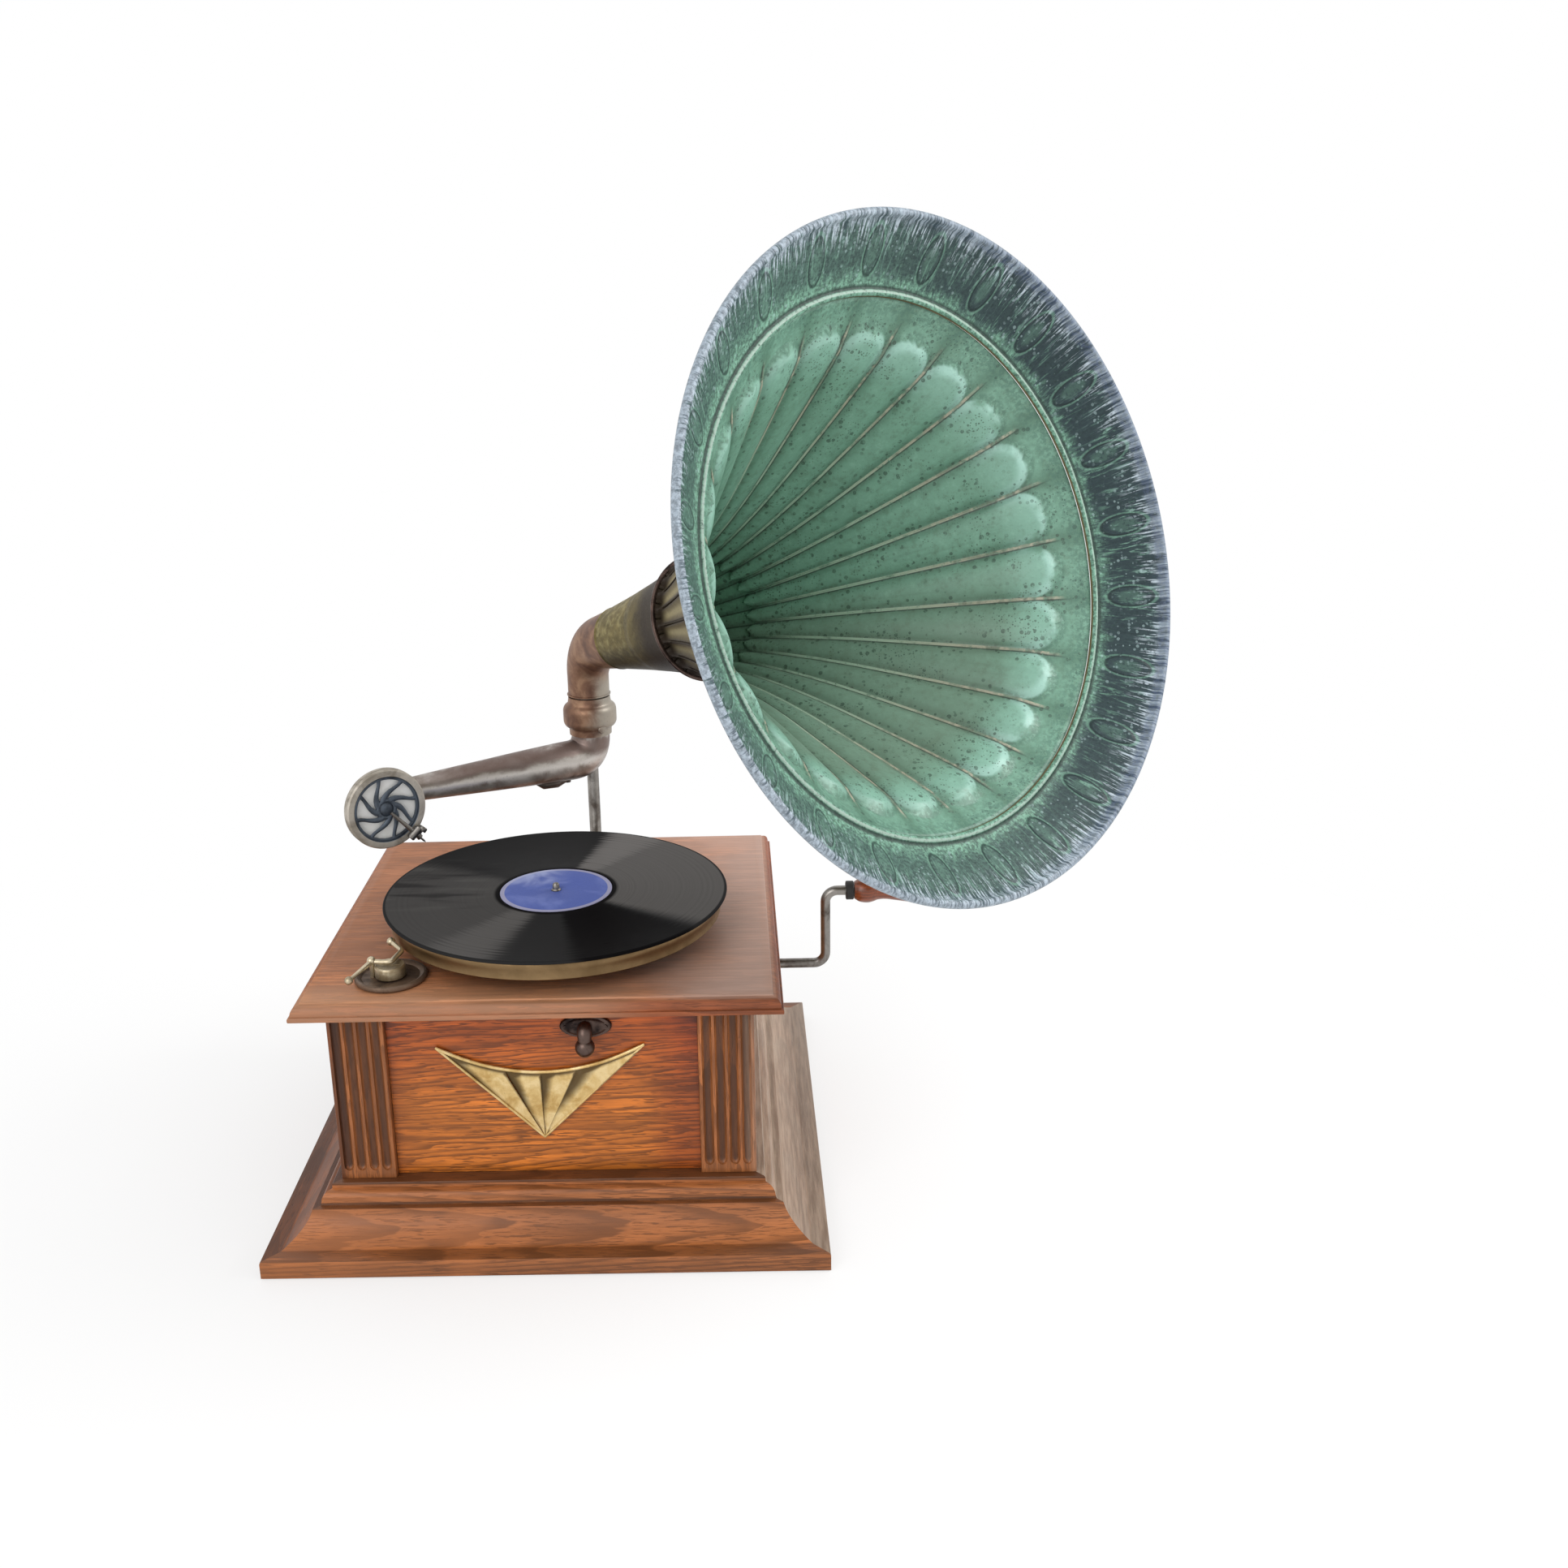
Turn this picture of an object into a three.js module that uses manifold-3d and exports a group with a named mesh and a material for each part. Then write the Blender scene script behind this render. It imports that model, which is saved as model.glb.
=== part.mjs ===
// Wind-up gramophone with an open horn, in millimetres, +Z up.
// The origin is the middle of the underside; the front of the case faces -Y and the crank is on +X.
import * as THREE from "three";
import { mergeVertices } from "three/addons/utils/BufferGeometryUtils.js";
import Module from "manifold-3d";

const wasm = await Module();
wasm.setup();

// Driving dimensions of the wooden case
const gap = 0.3;
const baseHalfWidth = 196;
const baseHalfDepth = 190;
const baseHeight = 47;
const plinthHeight = 13.5;
const caseHalfWidth = 147;
const caseHalfDepth = 141;
const panelRecess = 6;
const panelThickness = 8;
const pilasterWidth = 39;
const fluteCount = 4;
const fluteRadius = 2.9;
const deckHalfWidth = 167;
const deckHalfDepth = 161;
const deckBottom = 179;
const deckThickness = 12;
const deckTop = deckBottom + deckThickness;
const baseInnerInset = 61;

// Driving dimensions of the fittings on the front panel and on the deck
const fanHalfSpan = 73;
const catchX = 31;
const catchZ = 161;
const dialX = -104.6;
const dialY = -118;
const brakeX = -117.1;
const brakeY = -118.6;

// Driving dimensions of the record and turntable
const spindleX = 3;
const spindleY = -31;
const spindleRadius = 3.55;
const spindleTop = 225.4;
const platterRadius = 122;
const platterBottom = 203.5;
const platterTop = 215.5;
const matTop = 216.8;
const matRadius = 118;
const recordRadius = 127;
const recordBottom = 217;
const recordTop = 219.2;
const labelRadius = 42;
const labelTop = 219.8;

// Driving dimensions of the tone arm and its support
const pivotX = 19;
const pivotY = 132;
const rodRadius = 4.85;
const rodTop = 314;
const collarBottom = 293;
const collarTop = 325;
const collarRadius = 22;
const dipHeight = 300;
const sleeveRadius = 14.6;
const sleeveBore = 12.8;
const sleeveTop = 341;
const armHeight = 273;
const armAngle = 212.9;
const armLength = 176;
const soundboxReach = 193;
const soundboxOffset = 34;
const soundboxHeight = 274.7;
const soundboxRadius = 31;
const soundboxDepth = 13;

// Driving dimensions of the horn; distances run along its axis from the elbow's corner
const elbowHeight = 366.5;
const hornAzimuth = -49.4;
const hornElevation = 16.94;
const hornLength = 411;
const hornRimRadius = 212;
const hornBeadRadius = 170;
const hornBeadAt = 377;
const petalCount = 24;
const petalDepth = 5;
const petalStart = 104;
const petalEnd = 366;
const hornWall = 1.3;
const pipeRadius = 17;
const pipeBore = 15.3;
const neckStart = 30;
const neckEnd = 98;

// Driving dimensions of the winding crank
const crankHeight = 141.5;
const crankY = 0;
const crankRodRadius = 3.7;
const crankThrow = 60;
const crankArmX = 205;
const handleStart = 222;
const handleLength = 84;

// Driving dimensions of the spring motor, all under the deck
const plateTopZ = 178.6;
const plateThickness = 3;
const lowerPlateZ = 83;
const barrelX = 49;
const barrelY = 0;
const barrelRadius = 36;
const barrelBottom = 91;
const barrelTop = 123;
const barrelTeeth = 32;
const barrelModule = 2.4;
const trainPinionTeeth = 8;
const trainWheelTeeth = 32;
const trainModule = 1.25;
const spindlePinionTeeth = 8;
const trainX = 25.6;
const trainY = -41.9;
const crownTeeth = 24;
const windingPinionTeeth = 8;
const windingModule = 2.25;
const wormWheelTeeth = 16;
const wormPitch = 5;
const wormRadius = 5.2;
const wormZ = 113;
const wormWheelPitchRadius = (wormPitch * wormWheelTeeth) / (2 * Math.PI);
const governorX = spindleX - wormWheelPitchRadius - wormRadius;
const threadTurn = (255 * Math.PI) / 180;

const root = new THREE.Group();

// Colours and finishes of the real surfaces
function finish(color, roughness, metalness) {
  return new THREE.MeshStandardMaterial({ color, roughness, metalness });
}
const darkOak = finish(0x6e4230, 0.55, 0);
const goldenOak = finish(0xa8602c, 0.5, 0);
const deckOak = finish(0x8a543c, 0.5, 0);
const innerWood = finish(0x9b7a55, 0.8, 0);
const brass = finish(0xb08d45, 0.35, 1);
const agedNickel = finish(0x8d867c, 0.4, 1);
const bronze = finish(0x5a4a3c, 0.45, 1);
const steel = finish(0x8f8f90, 0.35, 1);
const springSteel = finish(0x4a5058, 0.4, 1);
const shellac = finish(0x17161a, 0.3, 0);
const labelPaper = finish(0x4159b0, 0.7, 0);
const greenFelt = finish(0x2f4a38, 0.95, 0);
const hornGreen = finish(0x6fa58e, 0.5, 0.2);
const flareBlue = finish(0x6f8790, 0.5, 0.2);
const hornBronze = finish(0x6a5a3e, 0.45, 0.8);
const handleWood = finish(0x8a4a30, 0.35, 0);
const blackRubber = finish(0x1c1c1c, 0.7, 0);
const mica = finish(0xdedcd4, 0.4, 0);

// Solids and meshes
function toSolid(geometry) {
  const bare = geometry.index ? geometry.toNonIndexed() : geometry.clone();
  const open = new THREE.BufferGeometry();
  open.setAttribute("position", bare.getAttribute("position"));
  const merged = mergeVertices(open, 1e-4);
  return new wasm.Manifold(
    new wasm.Mesh({
      numProp: 3,
      vertProperties: merged.attributes.position.array,
      triVerts: new Uint32Array(merged.index.array),
    }),
  );
}

function toGeometry(solid) {
  const mesh = solid.getMesh();
  const geometry = new THREE.BufferGeometry();
  geometry.setAttribute(
    "position",
    new THREE.BufferAttribute(new Float32Array(mesh.vertProperties), 3),
  );
  geometry.setIndex(new THREE.BufferAttribute(new Uint32Array(mesh.triVerts), 1));
  return geometry;
}

function join(...geometries) {
  return toGeometry(geometries.map(toSolid).reduce((a, b) => a.add(b)));
}

function cut(geometry, ...tools) {
  return toGeometry(tools.map(toSolid).reduce((a, b) => a.subtract(b), toSolid(geometry)));
}

function addMesh(name, geometry, material, parent = root) {
  const mesh = new THREE.Mesh(geometry, material);
  mesh.name = name;
  parent.add(mesh);
  return mesh;
}

// A box given by its lowest and highest corners
function block(x0, x1, y0, y1, z0, z1) {
  const box = new THREE.BoxGeometry(x1 - x0, y1 - y0, z1 - z0);
  return box.translate((x0 + x1) / 2, (y0 + y1) / 2, (z0 + z1) / 2);
}

// A turned piece about Z from a profile of [radius, height] points, going up along its outside
function turned(profile, segments) {
  const points = profile.map(([radius, height]) => new THREE.Vector2(radius, height));
  return new THREE.LatheGeometry(points, segments).rotateX(Math.PI / 2);
}

// A solid round rod, or with a bore a bush, standing on Z
function rod(radius, z0, z1, segments = 20) {
  return turned(
    [
      [0, z0],
      [radius, z0],
      [radius, z1],
      [0, z1],
    ],
    segments,
  );
}

function bush(radius, bore, z0, z1, segments = 24) {
  return turned(
    [
      [bore, z0],
      [radius, z0],
      [radius, z1],
      [bore, z1],
      [bore, z0],
    ],
    segments,
  );
}

// The same rod lying along X or Y
function rodX(radius, x0, x1, segments = 20) {
  return rod(radius, x0, x1, segments).rotateY(Math.PI / 2);
}

function rodY(radius, y0, y1, segments = 20) {
  return rod(radius, -y1, -y0, segments).rotateX(Math.PI / 2);
}

// A frame mitred at its corners: the profile is [inset from the outer edge, height], counter-clockwise
function mitredFrame(profile, halfWidth, halfDepth) {
  const reach = 100;
  const points = profile.map(([inset, height]) => new THREE.Vector2(reach - inset, height));
  const frame = new THREE.LatheGeometry(points, 4);
  frame.rotateX(Math.PI / 2).rotateZ(Math.PI / 4);
  frame.scale(Math.SQRT2, Math.SQRT2, 1);
  const position = frame.getAttribute("position");
  for (let i = 0; i < position.count; i++) {
    position.setX(i, position.getX(i) + Math.sign(position.getX(i)) * (halfWidth - reach));
    position.setY(i, position.getY(i) + Math.sign(position.getY(i)) * (halfDepth - reach));
  }
  return frame;
}

// A closed skin through rings of equal point counts; closed at both ends, or end to start as a loop
function skinRings(rings, isLoop = false) {
  const count = rings[0].length;
  const positions = rings.flat().flatMap((point) => [point.x, point.y, point.z]);
  const index = [];
  const bands = isLoop ? rings.length : rings.length - 1;
  for (let band = 0; band < bands; band++) {
    const lower = band * count;
    const upper = ((band + 1) % rings.length) * count;
    for (let k = 0; k < count; k++) {
      const next = (k + 1) % count;
      index.push(lower + k, lower + next, upper + next);
      index.push(lower + k, upper + next, upper + k);
    }
  }
  if (!isLoop) {
    const last = (rings.length - 1) * count;
    for (let k = 1; k < count - 1; k++) {
      index.push(0, k + 1, k);
      index.push(last, last + k, last + k + 1);
    }
  }
  const geometry = new THREE.BufferGeometry();
  geometry.setAttribute("position", new THREE.Float32BufferAttribute(positions, 3));
  geometry.setIndex(index);
  return geometry;
}

// Rings of a round pipe along a path; the frame is carried along without twist
function pipeRings(path, radii, sides) {
  const rings = [];
  let side = new THREE.Vector3();
  path.forEach((point, i) => {
    const before = path[Math.max(i - 1, 0)];
    const after = path[Math.min(i + 1, path.length - 1)];
    const along = after.clone().sub(before).normalize();
    if (i === 0) {
      const up = Math.abs(along.z) > 0.9 ? new THREE.Vector3(1, 0, 0) : new THREE.Vector3(0, 0, 1);
      side.crossVectors(up, along).normalize();
    } else {
      side.addScaledVector(along, -side.dot(along)).normalize();
    }
    const other = new THREE.Vector3().crossVectors(along, side);
    const ring = [];
    for (let k = 0; k < sides; k++) {
      const turn = (2 * Math.PI * k) / sides;
      ring.push(
        point
          .clone()
          .addScaledVector(side, radii[i] * Math.cos(turn))
          .addScaledVector(other, radii[i] * Math.sin(turn)),
      );
    }
    rings.push(ring);
  });
  return rings;
}

function solidPipe(path, radii, sides) {
  return skinRings(pipeRings(path, radii, sides));
}

function hollowPipe(path, radii, wall, sides) {
  const outside = pipeRings(path, radii, sides);
  const inside = pipeRings(
    path,
    radii.map((radius) => radius - wall),
    sides,
  );
  return skinRings([...outside, ...inside.reverse()], true);
}

// Points of a path with its inner corners rounded
function roundedPath(corners, bend, steps) {
  const path = [corners[0]];
  for (let i = 1; i < corners.length - 1; i++) {
    const corner = corners[i];
    const back = corners[i - 1].clone().sub(corner).setLength(bend);
    const ahead = corners[i + 1].clone().sub(corner).setLength(bend);
    const curve = new THREE.QuadraticBezierCurve3(
      corner.clone().add(back),
      corner.clone(),
      corner.clone().add(ahead),
    );
    path.push(...curve.getPoints(steps));
  }
  path.push(corners[corners.length - 1]);
  return path;
}

// A spur gear about Z, its pitch circle being module x teeth / 2
function gearShape(teeth, module, toothShare = 0.36) {
  const pitch = (module * teeth) / 2;
  const root = pitch - 1.15 * module;
  const tip = pitch + 0.85 * module;
  const step = (2 * Math.PI) / teeth;
  const shape = new THREE.Shape();
  for (let k = 0; k < teeth; k++) {
    const middle = k * step;
    const corners = [
      [root, middle - step * (toothShare / 2 + 0.07)],
      [tip, middle - step * (toothShare / 2 - 0.09)],
      [tip, middle + step * (toothShare / 2 - 0.09)],
      [root, middle + step * (toothShare / 2 + 0.07)],
    ];
    corners.forEach(([radius, turn], i) => {
      const x = radius * Math.cos(turn);
      const y = radius * Math.sin(turn);
      if (k === 0 && i === 0) shape.moveTo(x, y);
      else shape.lineTo(x, y);
    });
  }
  shape.closePath();
  return shape;
}

function roundHole(radius, x = 0, y = 0) {
  return new THREE.Path().absarc(x, y, radius, 0, 2 * Math.PI, true);
}

function flatPlate(shape, thickness, curveSegments = 12) {
  return new THREE.ExtrudeGeometry(shape, { depth: thickness, bevelEnabled: false, curveSegments });
}

function rectangle(x0, x1, y0, y1) {
  const shape = new THREE.Shape();
  shape.moveTo(x0, y0).lineTo(x1, y0).lineTo(x1, y1).lineTo(x0, y1).closePath();
  return shape;
}

// Wooden case: moulded base, four fluted corner pilasters and recessed oak panels
function makeBase() {
  const cove = new THREE.QuadraticBezierCurve(
    new THREE.Vector2(12.6, plinthHeight + 0.5),
    new THREE.Vector2(27.5, 22),
    new THREE.Vector2(31, 34.2),
  ).getPoints(6);
  const profile = [
    [baseInnerInset, 0],
    [0, 0],
    [0, plinthHeight - 2],
    [2, plinthHeight],
    ...cove.map((point) => point.toArray()),
    [36, 34.2],
    [36.5, 38.5],
    [39, 42],
    [43, 43.4],
    [43, baseHeight],
    [baseInnerInset, baseHeight],
    [baseInnerInset, 0],
  ];
  addMesh("base_moulding", mitredFrame(profile, baseHalfWidth, baseHalfDepth), darkOak);
  const halfWidth = baseHalfWidth - baseInnerInset - gap;
  const halfDepth = baseHalfDepth - baseInnerInset - gap;
  addMesh("bottom_board", block(-halfWidth, halfWidth, -halfDepth, halfDepth, 0, 10), innerWood);
}

const wallBottom = baseHeight + gap;
const wallTop = deckBottom - gap;

function makePanels() {
  const innerX = caseHalfWidth - pilasterWidth - gap;
  const innerY = caseHalfDepth - pilasterWidth - gap;
  const faceX = caseHalfWidth - panelRecess;
  const faceY = caseHalfDepth - panelRecess;
  const front = block(-innerX, innerX, -faceY, -faceY + panelThickness, wallBottom, wallTop);
  addMesh("front_panel", front, goldenOak);
  const back = block(-innerX, innerX, faceY - panelThickness, faceY, wallBottom, wallTop);
  addMesh("back_panel", back, goldenOak);
  const left = block(-faceX, -faceX + panelThickness, -innerY, innerY, wallBottom, wallTop);
  addMesh("left_panel", left, goldenOak);
  const right = block(faceX - panelThickness, faceX, -innerY, innerY, wallBottom, wallTop);
  const bore = rodX(crankRodRadius + 2, faceX - 2 * panelThickness, faceX + 5);
  bore.translate(0, crankY, crankHeight);
  addMesh("right_panel", cut(right, bore), goldenOak);
}

// A corner post drawn for +X -Y, with upright flutes in its two outer faces
function pilasterShape() {
  const shape = new THREE.Shape();
  const spacing = 9;
  const first = (pilasterWidth - spacing * (fluteCount - 1)) / 2;
  const steps = 4;
  const flutePoints = (place) => {
    const points = [];
    for (let i = 0; i <= steps; i++) {
      const turn = Math.PI * (1 - i / steps);
      points.push([place + fluteRadius * Math.cos(turn), 0.8 * fluteRadius * Math.sin(turn)]);
    }
    return points;
  };
  shape.moveTo(-pilasterWidth, pilasterWidth);
  shape.lineTo(-pilasterWidth, 0);
  for (let k = 0; k < fluteCount; k++)
    flutePoints(-pilasterWidth + first + k * spacing).forEach(([x, y]) => shape.lineTo(x, y));
  shape.lineTo(0, 0);
  for (let k = 0; k < fluteCount; k++)
    flutePoints(first + k * spacing).forEach(([y, depth]) => shape.lineTo(-depth, y));
  shape.lineTo(0, pilasterWidth);
  shape.closePath();
  return shape;
}

function makePilasters() {
  const shape = pilasterShape();
  const foot = 6;
  const places = [
    ["pilaster_front_right", 0, caseHalfWidth, -caseHalfDepth],
    ["pilaster_back_right", 1, caseHalfWidth, caseHalfDepth],
    ["pilaster_back_left", 2, -caseHalfWidth, caseHalfDepth],
    ["pilaster_front_left", 3, -caseHalfWidth, -caseHalfDepth],
  ];
  for (const [name, quarter, x, y] of places) {
    const fluted = flatPlate(shape, wallTop - wallBottom).translate(0, 0, wallBottom);
    const plainFoot = block(-pilasterWidth, 0, 0, pilasterWidth, wallBottom, wallBottom + foot);
    const post = join(fluted, plainFoot);
    post.rotateZ((quarter * Math.PI) / 2).translate(x, y, 0);
    addMesh(name, post, darkOak);
  }
}

// The top board with its moulded edge
function makeDeck() {
  const edge = 7;
  const edgeLift = 3;
  const shape = rectangle(
    -deckHalfWidth + edge,
    deckHalfWidth - edge,
    -deckHalfDepth + edge,
    deckHalfDepth - edge,
  );
  const board = new THREE.ExtrudeGeometry(shape, {
    depth: 0.5,
    bevelEnabled: true,
    bevelThickness: deckThickness - edgeLift - 0.5,
    bevelSize: edge,
    bevelSegments: 3,
  }).translate(0, 0, deckBottom + edgeLift);
  const belowEdge = block(-200, 200, -200, 200, deckBottom - 20, deckBottom + edgeLift);
  const slab = block(
    -deckHalfWidth,
    deckHalfWidth,
    -deckHalfDepth,
    deckHalfDepth,
    deckBottom,
    deckBottom + edgeLift + 0.2,
  );
  const moulded = join(cut(board, belowEdge), slab);
  const spindleHole = rod(6, deckBottom - 5, deckTop + 5).translate(spindleX, spindleY, 0);
  const leverHole = rod(3.1, deckBottom - 5, deckTop + 5, 12).translate(dialX, dialY, 0);
  const brakeHole = rod(2.1, deckBottom - 5, deckTop + 5, 12).translate(brakeX, brakeY, 0);
  addMesh("deck_board", cut(moulded, spindleHole, leverHole, brakeHole), deckOak);
}

// Closed butt hinges under the back overhang of the deck
function makeHinges() {
  const knuckleY = caseHalfDepth - panelRecess + 4;
  const knuckleZ = deckBottom - 4;
  for (const [name, x] of [
    ["hinge_left", -70],
    ["hinge_right", 70],
  ]) {
    const knuckle = rodX(3, -20, 20, 12).translate(x, knuckleY, knuckleZ);
    const wallLeaf = block(x - 20, x + 20, knuckleY - 3.7, knuckleY - 2, knuckleZ - 20, knuckleZ);
    const deckLeaf = block(x - 20, x + 20, knuckleY, knuckleY + 16, knuckleZ + 2, knuckleZ + 3.6);
    addMesh(name, join(knuckle, wallLeaf, deckLeaf), brass);
  }
}

// Brass fan on the front panel: a bordered wedge with four gilt blades
function makeFan() {
  const centreX = -1.5;
  const tipZ = 147;
  const sagZ = 126;
  const apexZ = 74;
  const face = -(caseHalfDepth - panelRecess) - gap;
  const outline = (inset) => {
    const shape = new THREE.Shape();
    const tipX = fanHalfSpan - inset * 7;
    shape.moveTo(0, apexZ + inset * 1.4);
    shape.lineTo(tipX, tipZ - inset * 5.1);
    const steps = 8;
    for (let i = 1; i < steps; i++) {
      const x = tipX * (1 - (2 * i) / steps);
      const rise = (x / fanHalfSpan) ** 2;
      shape.lineTo(x, sagZ - inset + (tipZ - sagZ) * rise);
    }
    shape.lineTo(-tipX, tipZ - inset * 5.1);
    shape.closePath();
    return shape;
  };
  const backing = flatPlate(outline(0), 1.2);
  const border = outline(0);
  border.holes.push(new THREE.Path(outline(2.2).getPoints().reverse()));
  const frame = flatPlate(border, 2.4);
  const ribs = [-24, -1, 24].map((lean) => {
    const rib = new THREE.Shape();
    rib.moveTo(-0.6, apexZ + 4).lineTo(0.6, apexZ + 4).lineTo(lean + 1.4, sagZ - 1).lineTo(lean - 1.4, sagZ - 1);
    rib.closePath();
    return flatPlate(rib, 2);
  });
  const fan = join(backing, frame, ...ribs);
  fan.rotateX(Math.PI / 2).translate(centreX, face, 0);
  addMesh("fan_ornament", fan, brass);
}

// Turn catch that holds the deck shut
const catchFace = -(caseHalfDepth - panelRecess) - gap;

function makeCatch() {
  const oval = new THREE.Shape();
  oval.absellipse(0, 0, 18, 8.5, 0, 2 * Math.PI);
  oval.holes.push(roundHole(3.3));
  const plate = flatPlate(oval, 4, 12).rotateX(Math.PI / 2);
  addMesh("catch_plate", plate.translate(catchX, catchFace, catchZ), bronze);
  const stem = rodY(3, -11, -0.3, 14);
  const neck = solidPipe(
    [new THREE.Vector3(0, -8, 2), new THREE.Vector3(0, -10.5, -3), new THREE.Vector3(0, -12, -9)],
    [4.6, 4, 3.2],
    10,
  );
  const ball = new THREE.SphereGeometry(7, 14, 10).translate(0, -12, -13);
  const knob = join(stem, neck, ball);
  addMesh("catch_knob", knob.translate(catchX, catchFace, catchZ), bronze);
}

// Speed control and brake on the deck: a dish, a regulator knob, and the bent brake arm across it
function makeDeckControls() {
  const dish = turned(
    [
      [4, deckTop + gap],
      [24, deckTop + gap],
      [25, deckTop + 2],
      [24, deckTop + 4],
      [20, deckTop + 1.8],
      [4, deckTop + 1.8],
      [4, deckTop + gap],
    ],
    28,
  ).translate(dialX, dialY, 0);
  const brakeBore = rod(2.1, deckBottom - 5, deckTop + 9, 12).translate(brakeX, brakeY, 0);
  addMesh("speed_dial", cut(dish, brakeBore), brass);
  const post = rod(2.5, deckBottom - 8, deckTop + 4, 16);
  const knob = turned(
    [
      [0, deckTop + 2.4],
      [9.6, deckTop + 2.4],
      [9.6, deckTop + 10],
      [8.8, deckTop + 10.8],
      [0, deckTop + 10.8],
    ],
    24,
  );
  const underArm = block(0, 26, -1.9, 1.9, deckBottom - 7.8, deckBottom - 6);
  underArm.rotateZ((18 * Math.PI) / 180);
  addMesh("speed_knob", join(post, knob, underArm).translate(dialX, dialY, 0), brass);

  const armZ = deckTop + 13;
  const brakePost = rod(1.7, deckBottom + 0.6, armZ, 12).translate(brakeX, brakeY, 0);
  const armPath = [
    new THREE.Vector3(-126.8, -145, armZ - 1.5),
    new THREE.Vector3(brakeX, brakeY, armZ),
    new THREE.Vector3(-103.4, -119.6, armZ),
    new THREE.Vector3(-99, -102.2, armZ + 0.6),
  ];
  const bars = [0, 1, 2].map((i) =>
    solidPipe([armPath[i], armPath[i + 1]], [1.5, 1.5], 8),
  );
  const shoe = solidPipe([armPath[3], new THREE.Vector3(-109, -90.4, armZ + 2.4)], [1.5, 1.5], 8);
  const balls = [
    [armPath[0], 3],
    [armPath[1], 3.2],
    [armPath[2], 1.9],
    [armPath[3], 1.9],
    [new THREE.Vector3(-109, -90.4, armZ + 2.4), 3.2],
  ].map(([place, radius]) =>
    new THREE.SphereGeometry(radius, 10, 7).translate(place.x, place.y, place.z),
  );
  addMesh("brake_lever", join(brakePost, ...bars, shoe, ...balls), brass);
}

// Turntable, mat, spindle and record
function makeTurntable() {
  const rimWall = 2.4;
  const plate = turned(
    [
      [spindleRadius + 0.5, platterTop - 12],
      [14, platterTop - 12],
      [16, platterTop - 3],
      [platterRadius - rimWall, platterTop - 3.5],
      [platterRadius - rimWall, platterBottom],
      [platterRadius, platterBottom],
      [platterRadius, platterTop - 1.5],
      [platterRadius - 1.5, platterTop],
      [spindleRadius + 0.5, platterTop],
      [spindleRadius + 0.5, platterTop - 12],
    ],
    48,
  );
  addMesh("turntable_platter", plate.translate(spindleX, spindleY, 0), brass);
  const mat = bush(matRadius, spindleRadius + 0.5, platterTop + 0.2, matTop, 40);
  addMesh("turntable_mat", mat.translate(spindleX, spindleY, 0), greenFelt);
  const disc = turned(
    [
      [spindleRadius + 0.15, recordBottom],
      [recordRadius, recordBottom],
      [recordRadius, recordTop - 0.6],
      [recordRadius - 0.6, recordTop],
      [spindleRadius + 0.15, recordTop],
      [spindleRadius + 0.15, recordBottom],
    ],
    52,
  );
  addMesh("record", disc.translate(spindleX, spindleY, 0), shellac);
  const label = bush(labelRadius, spindleRadius + 0.15, recordTop + 0.1, labelTop, 32);
  addMesh("record_label", label.translate(spindleX, spindleY, 0), labelPaper);

  const pinionZ = 149;
  const shaft = turned(
    [
      [0, lowerPlateZ],
      [1.5, lowerPlateZ],
      [1.5, lowerPlateZ + plateThickness + gap],
      [spindleRadius, lowerPlateZ + plateThickness + gap],
      [spindleRadius, spindleTop - 2.5],
      [1.8, spindleTop],
      [0, spindleTop],
    ],
    18,
  );
  const gear = flatPlate(gearShape(spindlePinionTeeth, trainModule), 7).translate(0, 0, pinionZ);
  const seat = turned(
    [
      [0, 196],
      [9, 196],
      [9, platterTop - 12 - gap],
      [0, platterTop - 12 - gap],
    ],
    18,
  );
  addMesh("spindle", join(shaft, gear, seat).translate(spindleX, spindleY, 0), steel);
}

// Spring motor: plates, pillars, barrel, gear train, winding gears and governor
function makeMotorFrame() {
  const outline = rectangle(-34, 94, -80, 54);
  const bores = [
    roundHole(spindleRadius + 0.4, spindleX, spindleY),
    roundHole(2, trainX, trainY),
    roundHole(2, barrelX, barrelY),
  ];
  const upper = new THREE.Shape(outline.getPoints());
  upper.holes.push(...bores);
  const upperPlate = flatPlate(upper, plateThickness).translate(0, 0, plateTopZ - plateThickness);
  const bracket = cut(
    block(85, 90, -11, 11, crankHeight - 11, plateTopZ - 1),
    rodX(crankRodRadius + 0.4, 80, 95).translate(0, crankY, crankHeight),
  );
  addMesh("motor_top_plate", join(upperPlate, bracket), steel);

  const lower = new THREE.Shape(outline.getPoints());
  lower.holes.push(roundHole(1.9, spindleX, spindleY), ...bores.slice(1));
  const lowerPlate = flatPlate(lower, plateThickness).translate(0, 0, lowerPlateZ);
  const cheeks = [-74, 46].map((y) =>
    cut(
      block(governorX - 7, governorX + 7, y, y + 4, lowerPlateZ + 1, wormZ + 7),
      rodY(2, y - 3, y + 7, 16).translate(governorX, 0, wormZ),
    ),
  );
  addMesh("motor_bottom_plate", join(lowerPlate, ...cheeks), steel);

  const pillarPlaces = [
    [-28, -74],
    [88, -74],
    [88, 48],
  ];
  pillarPlaces.forEach(([x, y], i) => {
    const z0 = lowerPlateZ + plateThickness + gap;
    const pillar = rod(4, z0, plateTopZ - plateThickness - gap, 16);
    addMesh("motor_pillar_" + (i + 1), pillar.translate(x, y, 0), steel);
  });
}

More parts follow.
